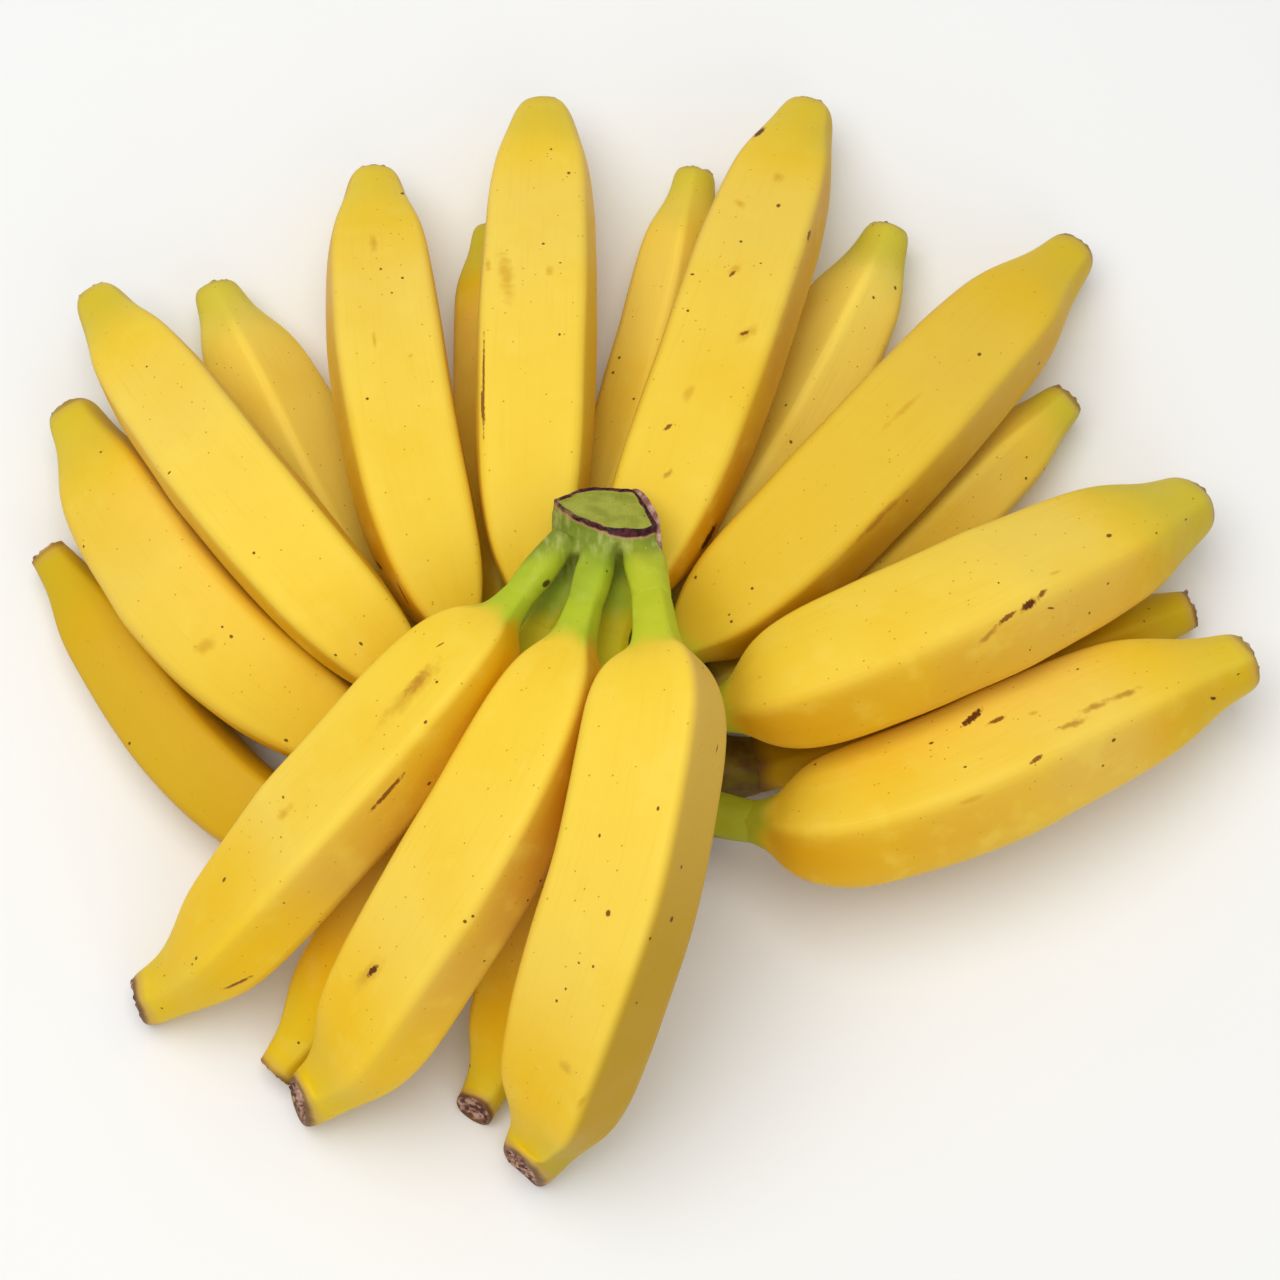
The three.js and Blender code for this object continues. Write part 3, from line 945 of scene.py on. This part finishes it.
# %% Where the marks are
BRUISE, RUB, SCRATCH, SCAB, SPECK = "bruise", "rub", "scratch", "scab", "speck"
MARKS = {
    "small_left": {
        BRUISE: [(-13, 0.36, 11, 3.6), (3, 0.57, 5.5, 2.4), (37, 0.17, 4.5, 1.2)],
        RUB: [(-10, 0.35, 6.5, 2.5)],
        SCRATCH: [(3, 0.28, 2.1, 0.5, 20), (-64, 0.45, 6, 0.9), (-93, 0.84, 5, 0.9, 20)],
        SPECK: [
            (18, 0.55, 0.7), (8, 0.76, 0.9), (-16, 0.62, 0.6), (-39, 0.84, 0.7), (-41, 0.85, 0.5),
            (-22, 0.92, 0.5), (-93, 0.42, 0.6), (-47, 0.38, 0.5),
        ],
    },
    "small_middle": {
        BRUISE: [(4, 0.71, 7.5, 2.8, 20), (22, 0.99, 0.8)],
        SCAB: [(2, 0.7, 3, 1.3, 20)],
        SPECK: [(-51, 0.55, 0.5), (-48, 0.56, 0.6), (-95, 0.61, 0.5), (-104, 0.48, 0.6), (-101, 0.51, 0.5)],
    },
    "small_right": {
        BRUISE: [(-25, 0.72, 3, 1.8, -85), (-48, 0.75, 4, 0.9, 10)],
        SCRATCH: [(-90, 0.37, 1.6, 0.4, 20)],
        SPECK: [
            (-15, 0.53, 1), (-73, 0.52, 0.9), (0, 0.63, 0.5), (13, 0.46, 0.5), (-35, 0.43, 0.5),
            (-68, 0.47, 0.5), (-54, 0.54, 0.5), (-18, 0.59, 0.5), (5, 0.65, 0.6),
        ],
    },
    "small_under_right": {SCRATCH: [(49, 0.93, 0.9)]},
    "left_outer": {
        BRUISE: [(-6, 0.43, 4.5, 2.1, -75)],
        SPECK: [(18, 0.41, 0.7), (19, 0.43, 0.5), (-39, 0.27, 0.7)],
    },
    "left_inner": {SPECK: [(-14, 0.25, 0.7), (-44, 0.26, 0.5), (-44, 0.57, 0.7)]},
    "top_left": {
        BRUISE: [
            (-84, 0.24, 4.5, 1.4, -20), (-7, 0.79, 4, 1.5, -5), (-16, 0.57, 4.5, 0.7),
            (20, 0.53, 1.1, 0.7, 65),
        ],
        SCRATCH: [(-67, 0.23, 4.5, 0.8, 25)],
        SCAB: [(-93, 0.28, 2.8, 0.8, -45), (46, 0.92, 1.8, 0.7, 55)],
        SPECK: [(-1, 0.74, 0.6), (22, 0.72, 0.6), (9, 0.69, 0.5)],
    },
    "far_left": {SPECK: [(-42, 0.6, 0.7)]},
    "top": {
        BRUISE: [(-29, 0.58, 13, 2.3, -6), (16, 0.59, 3, 1.4, -3), (-46, 0.61, 4, 1.1, -5)],
        SCRATCH: [(-47, 0.41, 17, 0.5), (-48, 0.38, 6, 0.9, -5)],
        SPECK: [(9, 0.66, 0.7), (35, 0.8, 0.7), (27, 0.61, 0.5), (28, 0.47, 0.5), (16, 0.85, 0.6)],
    },
    "top_right": {
        BRUISE: [
            (-25, 0.74, 2.4, 1.3, -50), (-6, 0.6, 4, 1.8, 15), (27, 0.49, 4, 1.8, 40), (-9, 0.41, 2),
            (5, 0.8, 2.3),
        ],
        RUB: [(1, 0.32, 2.4, 1.2, 40)],
        SCRATCH: [
            (-7, 0.59, 2.6, 0.8, 20), (25, 0.49, 2, 0.8, 50), (-17, 0.37, 1.6, 0.8, 50),
            (54, 0.72, 2.9, 1),
        ],
        SCAB: [(-45, 0.89, 3.5, 1.9, -4), (92, 0.28, 5, 2.4)],
        SPECK: [(16, 0.75, 0.9), (-43, 0.57, 0.7), (-10, 0.67, 0.7), (18, 0.63, 0.5)],
    },
    "right_inner": {
        BRUISE: [(0, 0.53, 11, 1.1, 3), (54, 0.42, 7.5, 1.8)],
        RUB: [(54, 0.42, 8.5, 1.4)],
        SPECK: [(19, 0.74, 0.8), (-40, 0.23, 0.7), (27, 0.23, 0.5), (86, 0.81, 0.7)],
    },
    "back_top_right": {
        SPECK: [(-1, 0.99, 0.7), (95, 0.87, 0.9), (68, 0.82, 0.7), (61, 0.5, 0.7), (34, 0.56, 0.6)],
    },
    "back_top": {SPECK: [(-94, 0.57, 0.7), (-97, 0.54, 0.7), (-57, 0.48, 0.6)]},
    "right_outer": {
        BRUISE: [(38, 0.69, 2.1, 0.7, 3)],
        RUB: [(51, 0.58, 9, 1.5, -5), (60, 0.49, 5, 1.2, -25)],
        SCRATCH: [(53, 0.52, 4, 1, -10), (48, 0.63, 4.5, 1, -6), (62, 0.65, 2.9, 0.5, 15)],
        SCAB: [(51, 0.57, 5, 1.3, -3)],
        SPECK: [
            (28, 0.79, 1), (24, 0.54, 0.5), (47, 0.85, 0.5), (34, 0.96, 0.5), (91, 0.56, 0.5),
            (67, 0.76, 0.5), (53, 0.92, 0.7),
        ],
    },
    "far_right": {
        BRUISE: [(6, 0.67, 1.9, 1, 10), (55, 0.46, 2.8, 0.9)],
        RUB: [(28, 0.75, 5, 1.7), (29, 0.79, 5, 1.6, 3), (34, 0.71, 5, 1.6, 7)],
        SCRATCH: [(-5, 0.56, 6, 1.3), (47, 0.58, 6, 0.8, -3)],
        SCAB: [(-20, 0.52, 6, 1.6, -20), (77, 0.91, 1.9, 0.7, 60)],
        SPECK: [
            (-11, 0.45, 0.7), (-22, 0.77, 0.5), (61, 0.75, 0.7), (79, 0.73, 0.5), (28, 0.47, 0.5),
            (64, 0.96, 0.7),
        ],
    },
    "back_far_right": {SPECK: [(19, 0.91, 0.6)]},
}
# kind: colour, how much of it shows, noise to the millimetre, how ragged, where its edge starts and ends
MARK_LOOKS = {
    BRUISE: (colour(212, 158, 40), 0.65, 0.35, 1.4, 1.3, 0.1),
    RUB: (colour(180, 122, 42), 0.75, 0.5, 1.7, 1.1, 0.1),
    SCRATCH: (colour(126, 68, 26), 0.9, 1.1, 1.1, 0.95, 0.5),
    SCAB: (colour(86, 34, 20), 0.95, 0.9, 1.3, 1.0, 0.6),
    SPECK: (colour(98, 54, 14), 0.9, 1.5, 0.4, 1.0, 0.5),
}
how_many = sum(len(ovals) for kinds in MARKS.values() for ovals in kinds.values())
print("marks:", how_many, "on", len(MARKS), "fruits")


# %% Lay them on the skin
def marked(skin, unrolled, name):
    """The skin's colour with one fruit's marks on it."""
    girth = fruits[name][5]
    round_mm, long_mm = 2 * math.pi * HALF_WIDTH * girth, lengths[name] / MM
    flat = add("VectorMath", {0: unrolled, 1: (round_mm, long_mm, 0)}, operation="MULTIPLY").outputs[0]

    def reach_of(degrees, share, half_long, half_wide=None, lean=0):
        middle = ((degrees / 360 + 0.5) * round_mm, share * long_mm, 0)
        return oval_reach(flat, middle, 90 - lean, (half_long, half_wide or half_long, 1))

    for kind, (tone, amount, grain, ragged, edge_start, edge_end) in MARK_LOOKS.items():
        reaches = [reach_of(*mark) for mark in MARKS.get(name, {}).get(kind, [])]
        if not reaches:
            continue
        nearest = reaches[0]
        for reach in reaches[1:]:
            nearest = maths("MINIMUM", nearest, reach)
        torn = plus(nearest, swing(noise(flat, grain), ragged))
        skin = mixed(ranged(torn, edge_start, edge_end, 0, amount), skin, tone)
    return skin


# %% [markdown]
# ## Ripe skin
# The outer flat is a clear light yellow. The two side flats are painted a deeper gold, and the inner flats a
# gold in between: painted shade, for the flanks that turn away from the light. Ridges are a little lighter,
# because they are rubbed. Over that lie slow patches, fibres that run the length of the fruit, freckles, and
# olive where the tip is not quite ripe. The scar at the tip is corky.

# %% How each fruit's colour differs
# longer_green is a share of the fruit's length, the others are amounts from 0 to 1
# On the side flats these amounts are painted shade. The amount that lightens a whole fruit is painted light,
# on fruits of the lower row that lie in shade. The dull side, the stalks' brown and the deep gold are partly
# the skin's own and partly painted shade. The yellower stalk of the small hand's lower left fruit is painted
# light.
USUAL_LOOK = dict(
    longer_green=0, yellower_stalk=0, dried_and_shaded_stalk=0, side_shade=1, deeper_side_shade=0, painted_light=0, golden=0,
    dull_and_shaded_side=0, olive_tip=0.3, dry_snout=0.25,
)
LOOKS = {
    "far_left": dict(golden=0.8, dry_snout=0.5),
    "left_outer": dict(golden=0.1, olive_tip=0.45, dry_snout=0.5),
    "left_inner": dict(olive_tip=0.45),
    "top": dict(side_shade=0.3),
    "top_right": dict(deeper_side_shade=0.6, golden=0.12),
    "right_inner": dict(golden=0.4, dry_snout=0.6),
    "right_outer": dict(dried_and_shaded_stalk=0.15, olive_tip=0.6, dry_snout=0.6),
    "far_right": dict(dried_and_shaded_stalk=0.3, dry_snout=0.5),
    "back_left": dict(side_shade=0.2, painted_light=0.7, olive_tip=0.6),
    "back_top_left": dict(side_shade=0.6, olive_tip=0.7),
    "back_top": dict(side_shade=0.2, painted_light=0.5, olive_tip=0.6),
    "back_top_right": dict(dried_and_shaded_stalk=0.6, side_shade=0, painted_light=1, olive_tip=0.65),
    "back_right": dict(dried_and_shaded_stalk=0.8, side_shade=0.5, painted_light=0.3, olive_tip=0.65, dry_snout=0.6),
    "back_far_right": dict(dried_and_shaded_stalk=0.9, golden=0.9, olive_tip=0.35, dry_snout=0.8),
    "small_left": dict(dry_snout=0.9),
    "small_middle": dict(yellower_stalk=0.2, deeper_side_shade=0.45, dry_snout=0.9),
    "small_right": dict(yellower_stalk=0.2, dull_and_shaded_side=0.85, olive_tip=0.35, dry_snout=0.9),
    "small_under_left": dict(longer_green=0.05, yellower_stalk=0.1, dry_snout=0.7),
    "small_under_right": dict(longer_green=0.04, olive_tip=0.4, dry_snout=0.9),
}
# where a golden tip starts, and how much of it shows
SMALL_HAND_GOLD, LARGE_HAND_GOLD = (0.6, 0.95), (0.72, 0.3)

# %% Colours of the skin
# the side, deeper side and inner golds are painted shade, on flats that turn away from the light
CLEAR_YELLOW, SIDE_PAINTED_SHADE, DEEPER_PAINTED_SHADE = colour(246, 207, 60), colour(226, 168, 18), colour(200, 122, 0)
INNER_PAINTED_SHADE, CREAM, RICH_GOLD = colour(230, 176, 28), colour(246, 214, 112), colour(246, 196, 0)
# the first of these is painted light, for whole fruits that lie in shade
PAINTED_LIGHT_TONE, RUBBED, WARM_PATCH = colour(255, 226, 100), colour(250, 218, 84), colour(240, 192, 30)
# the last of these, a deep gold, is partly ripeness and partly painted shade
PALE_PATCH, FIBRE, DEEP_GOLD_AND_SHADE = colour(250, 220, 92), colour(228, 180, 34), colour(208, 162, 4)
# a dull skin, partly painted shade, darker towards the belly
DULL_SHADED_SHOULDER, DULL_SHADED_BELLY = colour(224, 186, 92), colour(184, 142, 16)
# the brown is partly dried stalk and partly painted shade
OLIVE, DRIED_AND_SHADED_BROWN, TAN = colour(186, 184, 40), colour(112, 66, 38), colour(196, 150, 92)
DARK_FRECKLE, GOLD_FRECKLE, SNOUT_BROWN = colour(120, 74, 20), colour(206, 152, 34), colour(104, 66, 50)
DARK_CORK, PALE_CORK = colour(98, 62, 58), colour(200, 160, 136)

# %% Where they start and end, and how the skin shines
# degrees round the fruit, then shares of its length
SIDE_START, SIDE_FULL, INNER_START, INNER_FULL = 45, 58, 108, 124
RIDGE_BLUR = 20
BELLY_START, BELLY_END = (0.25, 0.7), (0.86, 0.76)
TIP_OLIVE, STALK_GREEN_END = (0.8, 0.985), (0.14, 0.185)
TANNED, BROWNED = (0.972, 0.992), (0.988, 0.999)
# the skin's noises to the metre, and its fibres round and along the fruit
BROAD, MIDDLING, FINE = 24.0, 95.0, 420.0
FIBRES = (120.0, 7.0, 1.0)
SATIN, CORK_ROUGH, SKIN_SHINE = (0.44, 0.56), 0.85, 0.14
PORE_STRENGTH, PORE_DEPTH = 0.25, 0.4 * MM


# %% Ripe skin
def skin_material(name):
    look = {**USUAL_LOOK, **LOOKS.get(name, {})}
    material, shader = new_material("skin_" + name)
    place = add("TexCoord").outputs["Object"]
    unrolled = add("UVMap", uv_map="skin").outputs[0]
    across, along, _ = add("SeparateXYZ", {0: unrolled}).outputs
    ridge, scar = attribute("ridge"), attribute("scar")
    broad, middling, fine = noise(place, BROAD, 2.0), noise(place, MIDDLING), noise(place, FINE)
    fibre = noise(add("Mapping", {"Vector": unrolled, "Scale": FIBRES}).outputs[0], 1.0)

    turn = times(maths("ABSOLUTE", maths("SUBTRACT", across, 0.5)), 360.0)
    soft = SOFT_RIDGES.get(name, 0)
    blur = RIDGE_BLUR * soft
    gold_start, gold = SMALL_HAND_GOLD if name in small_hand else LARGE_HAND_GOLD
    skin = stacked(
        CLEAR_YELLOW,
        # painted shade: the side flats a deeper gold, on some fruits deeper still, and the inner flats a gold
        # between
        (ranged(turn, SIDE_START - blur, SIDE_FULL + blur, 0, look["side_shade"]), SIDE_PAINTED_SHADE),
        (ranged(turn, SIDE_START, SIDE_FULL, 0, look["deeper_side_shade"]), DEEPER_PAINTED_SHADE),
        (ranged(turn, INNER_START, INNER_FULL), INNER_PAINTED_SHADE),
        (times(ranged(along, *BELLY_START), ranged(along, *BELLY_END, 0, 0.4)), CREAM),
        (ranged(along, gold_start, gold_start + 0.2, 0, gold), RICH_GOLD),
        # painted light: a whole fruit made lighter where it lies in the shade of others
        (look["painted_light"], PAINTED_LIGHT_TONE),
        (times(ridge, 0.3 * (1 - soft)), RUBBED),
        (ranged(broad, 0.45, 0.72, 0, 0.4), WARM_PATCH),
        (ranged(middling, 0.5, 0.75, 0, 0.3), PALE_PATCH),
        (ranged(fibre, 0.5, 0.8, 0, 0.2), FIBRE),
        # a deeper golden tone, partly ripeness and partly painted shade on fruits that lie in shade
        (look["golden"], DEEP_GOLD_AND_SHADE),
    )
    # a dull side: partly a duller skin, partly painted shade, darker towards the belly
    if look["dull_and_shaded_side"]:
        dull_shade = mixed(ranged(along, 0.25, 0.6), DULL_SHADED_SHOULDER, DULL_SHADED_BELLY)
        skin = mixed(ranged(across, 0.375, 0.345, 0, look["dull_and_shaded_side"]), skin, dull_shade)

    tip = ranged(plus(along, swing(broad, 0.2)), *TIP_OLIVE)
    skin = mixed(times(tip, look["olive_tip"]), skin, OLIVE)
    stalk = plus(maths("SUBTRACT", along, times(ridge, 0.012)), swing(broad, 0.06))
    yellower = ranged(along, 0.08, 0.15, 0, look["yellower_stalk"])
    green = mixed(yellower, growing_green(place), YELLOW_GREEN)
    # stalk brown: partly dried, partly painted shade
    green = mixed(look["dried_and_shaded_stalk"], green, DRIED_AND_SHADED_BROWN)
    green_start, green_end = (share + look["longer_green"] for share in STALK_GREEN_END)
    skin = mixed(ranged(stalk, green_start, green_end), green, skin)

    dark_freckles, gold_freckles = freckles(place, 330.0, 0.008, 0.2), freckles(place, 800.0, 0.035, 0.3)
    skin = stacked(skin, (dark_freckles, DARK_FRECKLE), (gold_freckles, GOLD_FRECKLE))
    worn, dry = plus(along, swing(middling, 0.02)), look["dry_snout"]
    skin = stacked(
        marked(skin, unrolled, name),
        (ranged(worn, *TANNED, 0, dry * 0.6), TAN),
        (ranged(worn, *BROWNED, 0, dry), SNOUT_BROWN),
        (scar, mixed(ranged(fine, 0.4, 0.62), DARK_CORK, PALE_CORK)),
    )
    put(shader.inputs["Base Color"], skin)

    satin = ranged(middling, 0.3, 0.7, *SATIN)
    put(shader.inputs["Roughness"], maths("MAXIMUM", satin, times(scar, CORK_ROUGH)))
    shader.inputs["Specular IOR Level"].default_value = SKIN_SHINE
    pore_bump(shader, plus(times(fibre, 0.6), times(fine, 0.4)), PORE_STRENGTH, PORE_DEPTH)
    return material


# %% [markdown]
# ## Stem, cut and torn strip
# The crown's skin is greyer and more wrinkled than the stalks. The cut face is moist olive pith, full of the
# ends of dark strands. Its lip dried to a dark red brown, and a thin pale line lies below it. All of these
# are one finish, told apart by the marks left on the crown's points, so their edges stay soft. The large
# crown is older: low down, where it lies on the table, it has dried brown. A few dark spots sit on the small
# hand's stalks. Each is an oval measured on the stem itself, because the crown has no unrolled skin.

# %% Green stem
STALK_SPOTS = [
    # where, in millimetres, and half the length and width
    ((-25.4, -18.2, 83.0), 1.9, 0.9),
    ((-13.8, -13.4, 86.0), 0.5, 0.5),
    ((-8.2, -15.7, 86.5), 0.4, 0.4),
]
SPOT_TURN = 40
OLD_BROWN, BARK_GREEN, BARK_GREY = colour(96, 52, 34), colour(118, 132, 46), colour(168, 172, 100)
STEM_FRECKLE, SPOT_BROWN, PALE_LINE = colour(96, 84, 40), colour(70, 42, 22), colour(190, 136, 104)
LIP_BLACK, LIP_RED = colour(48, 20, 32), colour(88, 38, 42)
PITH, DARKER_PITH = colour(168, 172, 62), colour(146, 152, 52)
PITH_GRAIN, STRAND_END = colour(124, 132, 50), colour(96, 96, 44)
STEM_SATIN, STEM_SHINE = (0.42, 0.58), 0.2
WRINKLE_STRENGTH, WRINKLE_DEPTH = 0.35, 0.5 * MM
STEM_MIDDLING, STEM_FINE, WRINKLES = 160.0, 600.0, (500.0, 160.0, 160.0)
DRIED_BELOW = (22.5 * MM, 28.5 * MM)


def stem_material(name, dried):
    material, shader = new_material(name)
    place = add("TexCoord").outputs["Object"]
    bark, lip, cut = (attribute(mark) for mark in ("bark", "lip", "cut"))
    middling, fine = noise(place, STEM_MIDDLING), noise(place, STEM_FINE)
    wrinkle = noise(add("Mapping", {"Vector": place, "Scale": WRINKLES}).outputs[0], 1.0)

    right, _, up = add("SeparateXYZ", {0: place}).outputs
    low = ranged(up, *DRIED_BELOW, dried, dried * 0.3)
    brown = times(low, ranged(middling, 0.3, 0.7, 1, 0.8))
    stem = stacked(
        growing_green(place),
        (brown, OLD_BROWN),
        (times(bark, 0.85), mixed(ranged(wrinkle, 0.45, 0.7), BARK_GREEN, BARK_GREY)),
        (freckles(place, 260.0, 0.05, 0.2), STEM_FRECKLE),
    )
    for spot, half_long, half_wide in STALK_SPOTS:
        size = Vector((half_long, half_wide, 2 * half_wide)) * MM
        reach = plus(oval_reach(place, Vector(spot) * MM, SPOT_TURN, size), swing(fine, 1.0))
        stem = mixed(ranged(reach, 1.0, 0.6, 0, 0.9), stem, SPOT_BROWN)

    thick = plus(swing(middling, 0.9), ranged(right, -0.026, 0.004, -0.32, 0.02))
    dry = plus(lip, times(thick, ranged(lip, 0.02, 0.3)))
    pith = stacked(
        PITH,
        (ranged(middling, 0.35, 0.65), DARKER_PITH),
        (freckles(place, 900.0, 0.3, 0.3), PITH_GRAIN),
        (freckles(place, 420.0, 0.05, 0.2), STRAND_END),
    )
    stem = stacked(
        stem,
        (ranged(dry, 0.3, 0.5, 0, 0.6), PALE_LINE),
        (ranged(dry, 0.55, 0.75), mixed(ranged(fine, 0.4, 0.6), LIP_BLACK, LIP_RED)),
        (cut, pith),
    )
    put(shader.inputs["Base Color"], stem)
    put(shader.inputs["Roughness"], ranged(middling, 0.3, 0.7, *STEM_SATIN))
    shader.inputs["Specular IOR Level"].default_value = STEM_SHINE
    pore_bump(shader, plus(times(times(wrinkle, bark), 1.5), fine), WRINKLE_STRENGTH, WRINKLE_DEPTH)
    return material


# %% Dried strip
STRIP_PINK, STRIP_BROWN, STRIP_DARK = colour(206, 166, 150), colour(140, 92, 80), colour(70, 34, 32)
STRIP_MIDDLING, STRIP_FINE, STRIP_DULL = 300.0, 1100.0, (0.6, 0.8)


def strip_material(name):
    material, shader = new_material(name)
    place = add("TexCoord").outputs["Object"]
    middling, fine = noise(place, STRIP_MIDDLING), noise(place, STRIP_FINE)
    brown, dark = ranged(middling, 0.35, 0.62), ranged(fine, 0.55, 0.75, 0, 0.7)
    put(shader.inputs["Base Color"], stacked(STRIP_PINK, (brown, STRIP_BROWN), (dark, STRIP_DARK)))
    put(shader.inputs["Roughness"], ranged(fine, 0.3, 0.7, *STRIP_DULL))
    pore_bump(shader, plus(middling, fine), 0.5, WRINKLE_DEPTH)
    return material


# %% Dress the pieces and hide the solids
for name, skin in skins.items():
    skin.data.materials.clear()
    skin.data.materials.append(skin_material(name))
    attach(skin, "root")
    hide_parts("banana_" + name)
for crown, node, dried in ((large_crown, "crown_large", 0.95), (small_crown, "crown_small", 0.0)):
    crown.data.materials.clear()
    crown.data.materials.append(stem_material("stem_of_" + node, dried))
    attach(crown, "root")
    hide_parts(node)
strip.data.materials.append(strip_material("dried_strip"))
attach(strip, "root")
print("dressed", len(skins) + 3, "pieces")

# %% [markdown]
# ## Floor, light and camera
# The bunch lies on a plain pale floor, wide enough to fill the view from every side. One large round softbox
# hangs high over its left side and gives the ridges their shade, a weak one in front keeps the small hand's
# tips from going grey, and a pale sky fills the rest. The camera stands in front and looks steeply down,
# through a long lens, so that the fan of fruits is seen almost flat.

# %% Pale floor
FLOOR_HALF_SIDE = 3.0
FLOOR_DROP = 0.2 * MM
floor = new_piece("floor", plane, size=2 * FLOOR_HALF_SIDE, location=(0, 0, -FLOOR_DROP))
bpy.ops.object.transform_apply()
floor_paint, floor_shader = new_material("pale_floor")
grain = add("TexNoise", {"Scale": 40.0, "Detail": 3.0}).outputs[0]
put(floor_shader.inputs["Base Color"], mixed(grain, colour(246, 246, 244), colour(250, 250, 248)))
floor_shader.inputs["Roughness"].default_value = 0.8
floor.data.materials.append(floor_paint)


# %% Soft light
def softbox(name, place, target, side, power, tint):
    data = bpy.data.lights.new(name, "AREA")
    data.shape = "DISK"
    data.size = side
    data.energy = power
    data.color = tint
    light = bpy.data.objects.new(name, data)
    light.location = place
    light.rotation_euler = (Vector(target) - Vector(place)).to_track_quat("-Z", "Y").to_euler()
    scene.collection.objects.link(light)


BUNCH_MIDDLE = (0, 0, 0.05)
WARM_WHITE, WHITE, PALE_SKY = (1.0, 0.985, 0.96), (1.0, 1.0, 1.0), (0.95, 0.97, 1.0, 1.0)
SKY_STRENGTH = 0.48
softbox("overhead", (-0.28, 0.0, 1.5), BUNCH_MIDDLE, 1.5, 14.9, WARM_WHITE)
softbox("front_fill", (0.5, -1.3, 0.9), BUNCH_MIDDLE, 1.0, 2.5, WHITE)
scene.world = scene.world or bpy.data.worlds.new("studio")
scene.world.use_nodes = True
sky = scene.world.node_tree.nodes["Background"]
sky.inputs[0].default_value, sky.inputs[1].default_value = PALE_SKY, SKY_STRENGTH
scene.view_settings.view_transform = "Standard"

# %% Camera
CAMERA_PLACE = Vector((0.001, -0.3439, 0.9319))
CAMERA_TARGET = Vector((0.001, -0.019, 0.0392))
camera_data = bpy.data.cameras.new("camera")
camera_data.lens = 91.4
camera_data.sensor_width = 36
camera = bpy.data.objects.new("camera", camera_data)
camera.location = CAMERA_PLACE
camera.rotation_euler = (CAMERA_TARGET - CAMERA_PLACE).to_track_quat("-Z", "Y").to_euler()
scene.collection.objects.link(camera)
scene.camera = camera

# %% Bring the scene up to date
bpy.context.view_layer.update()
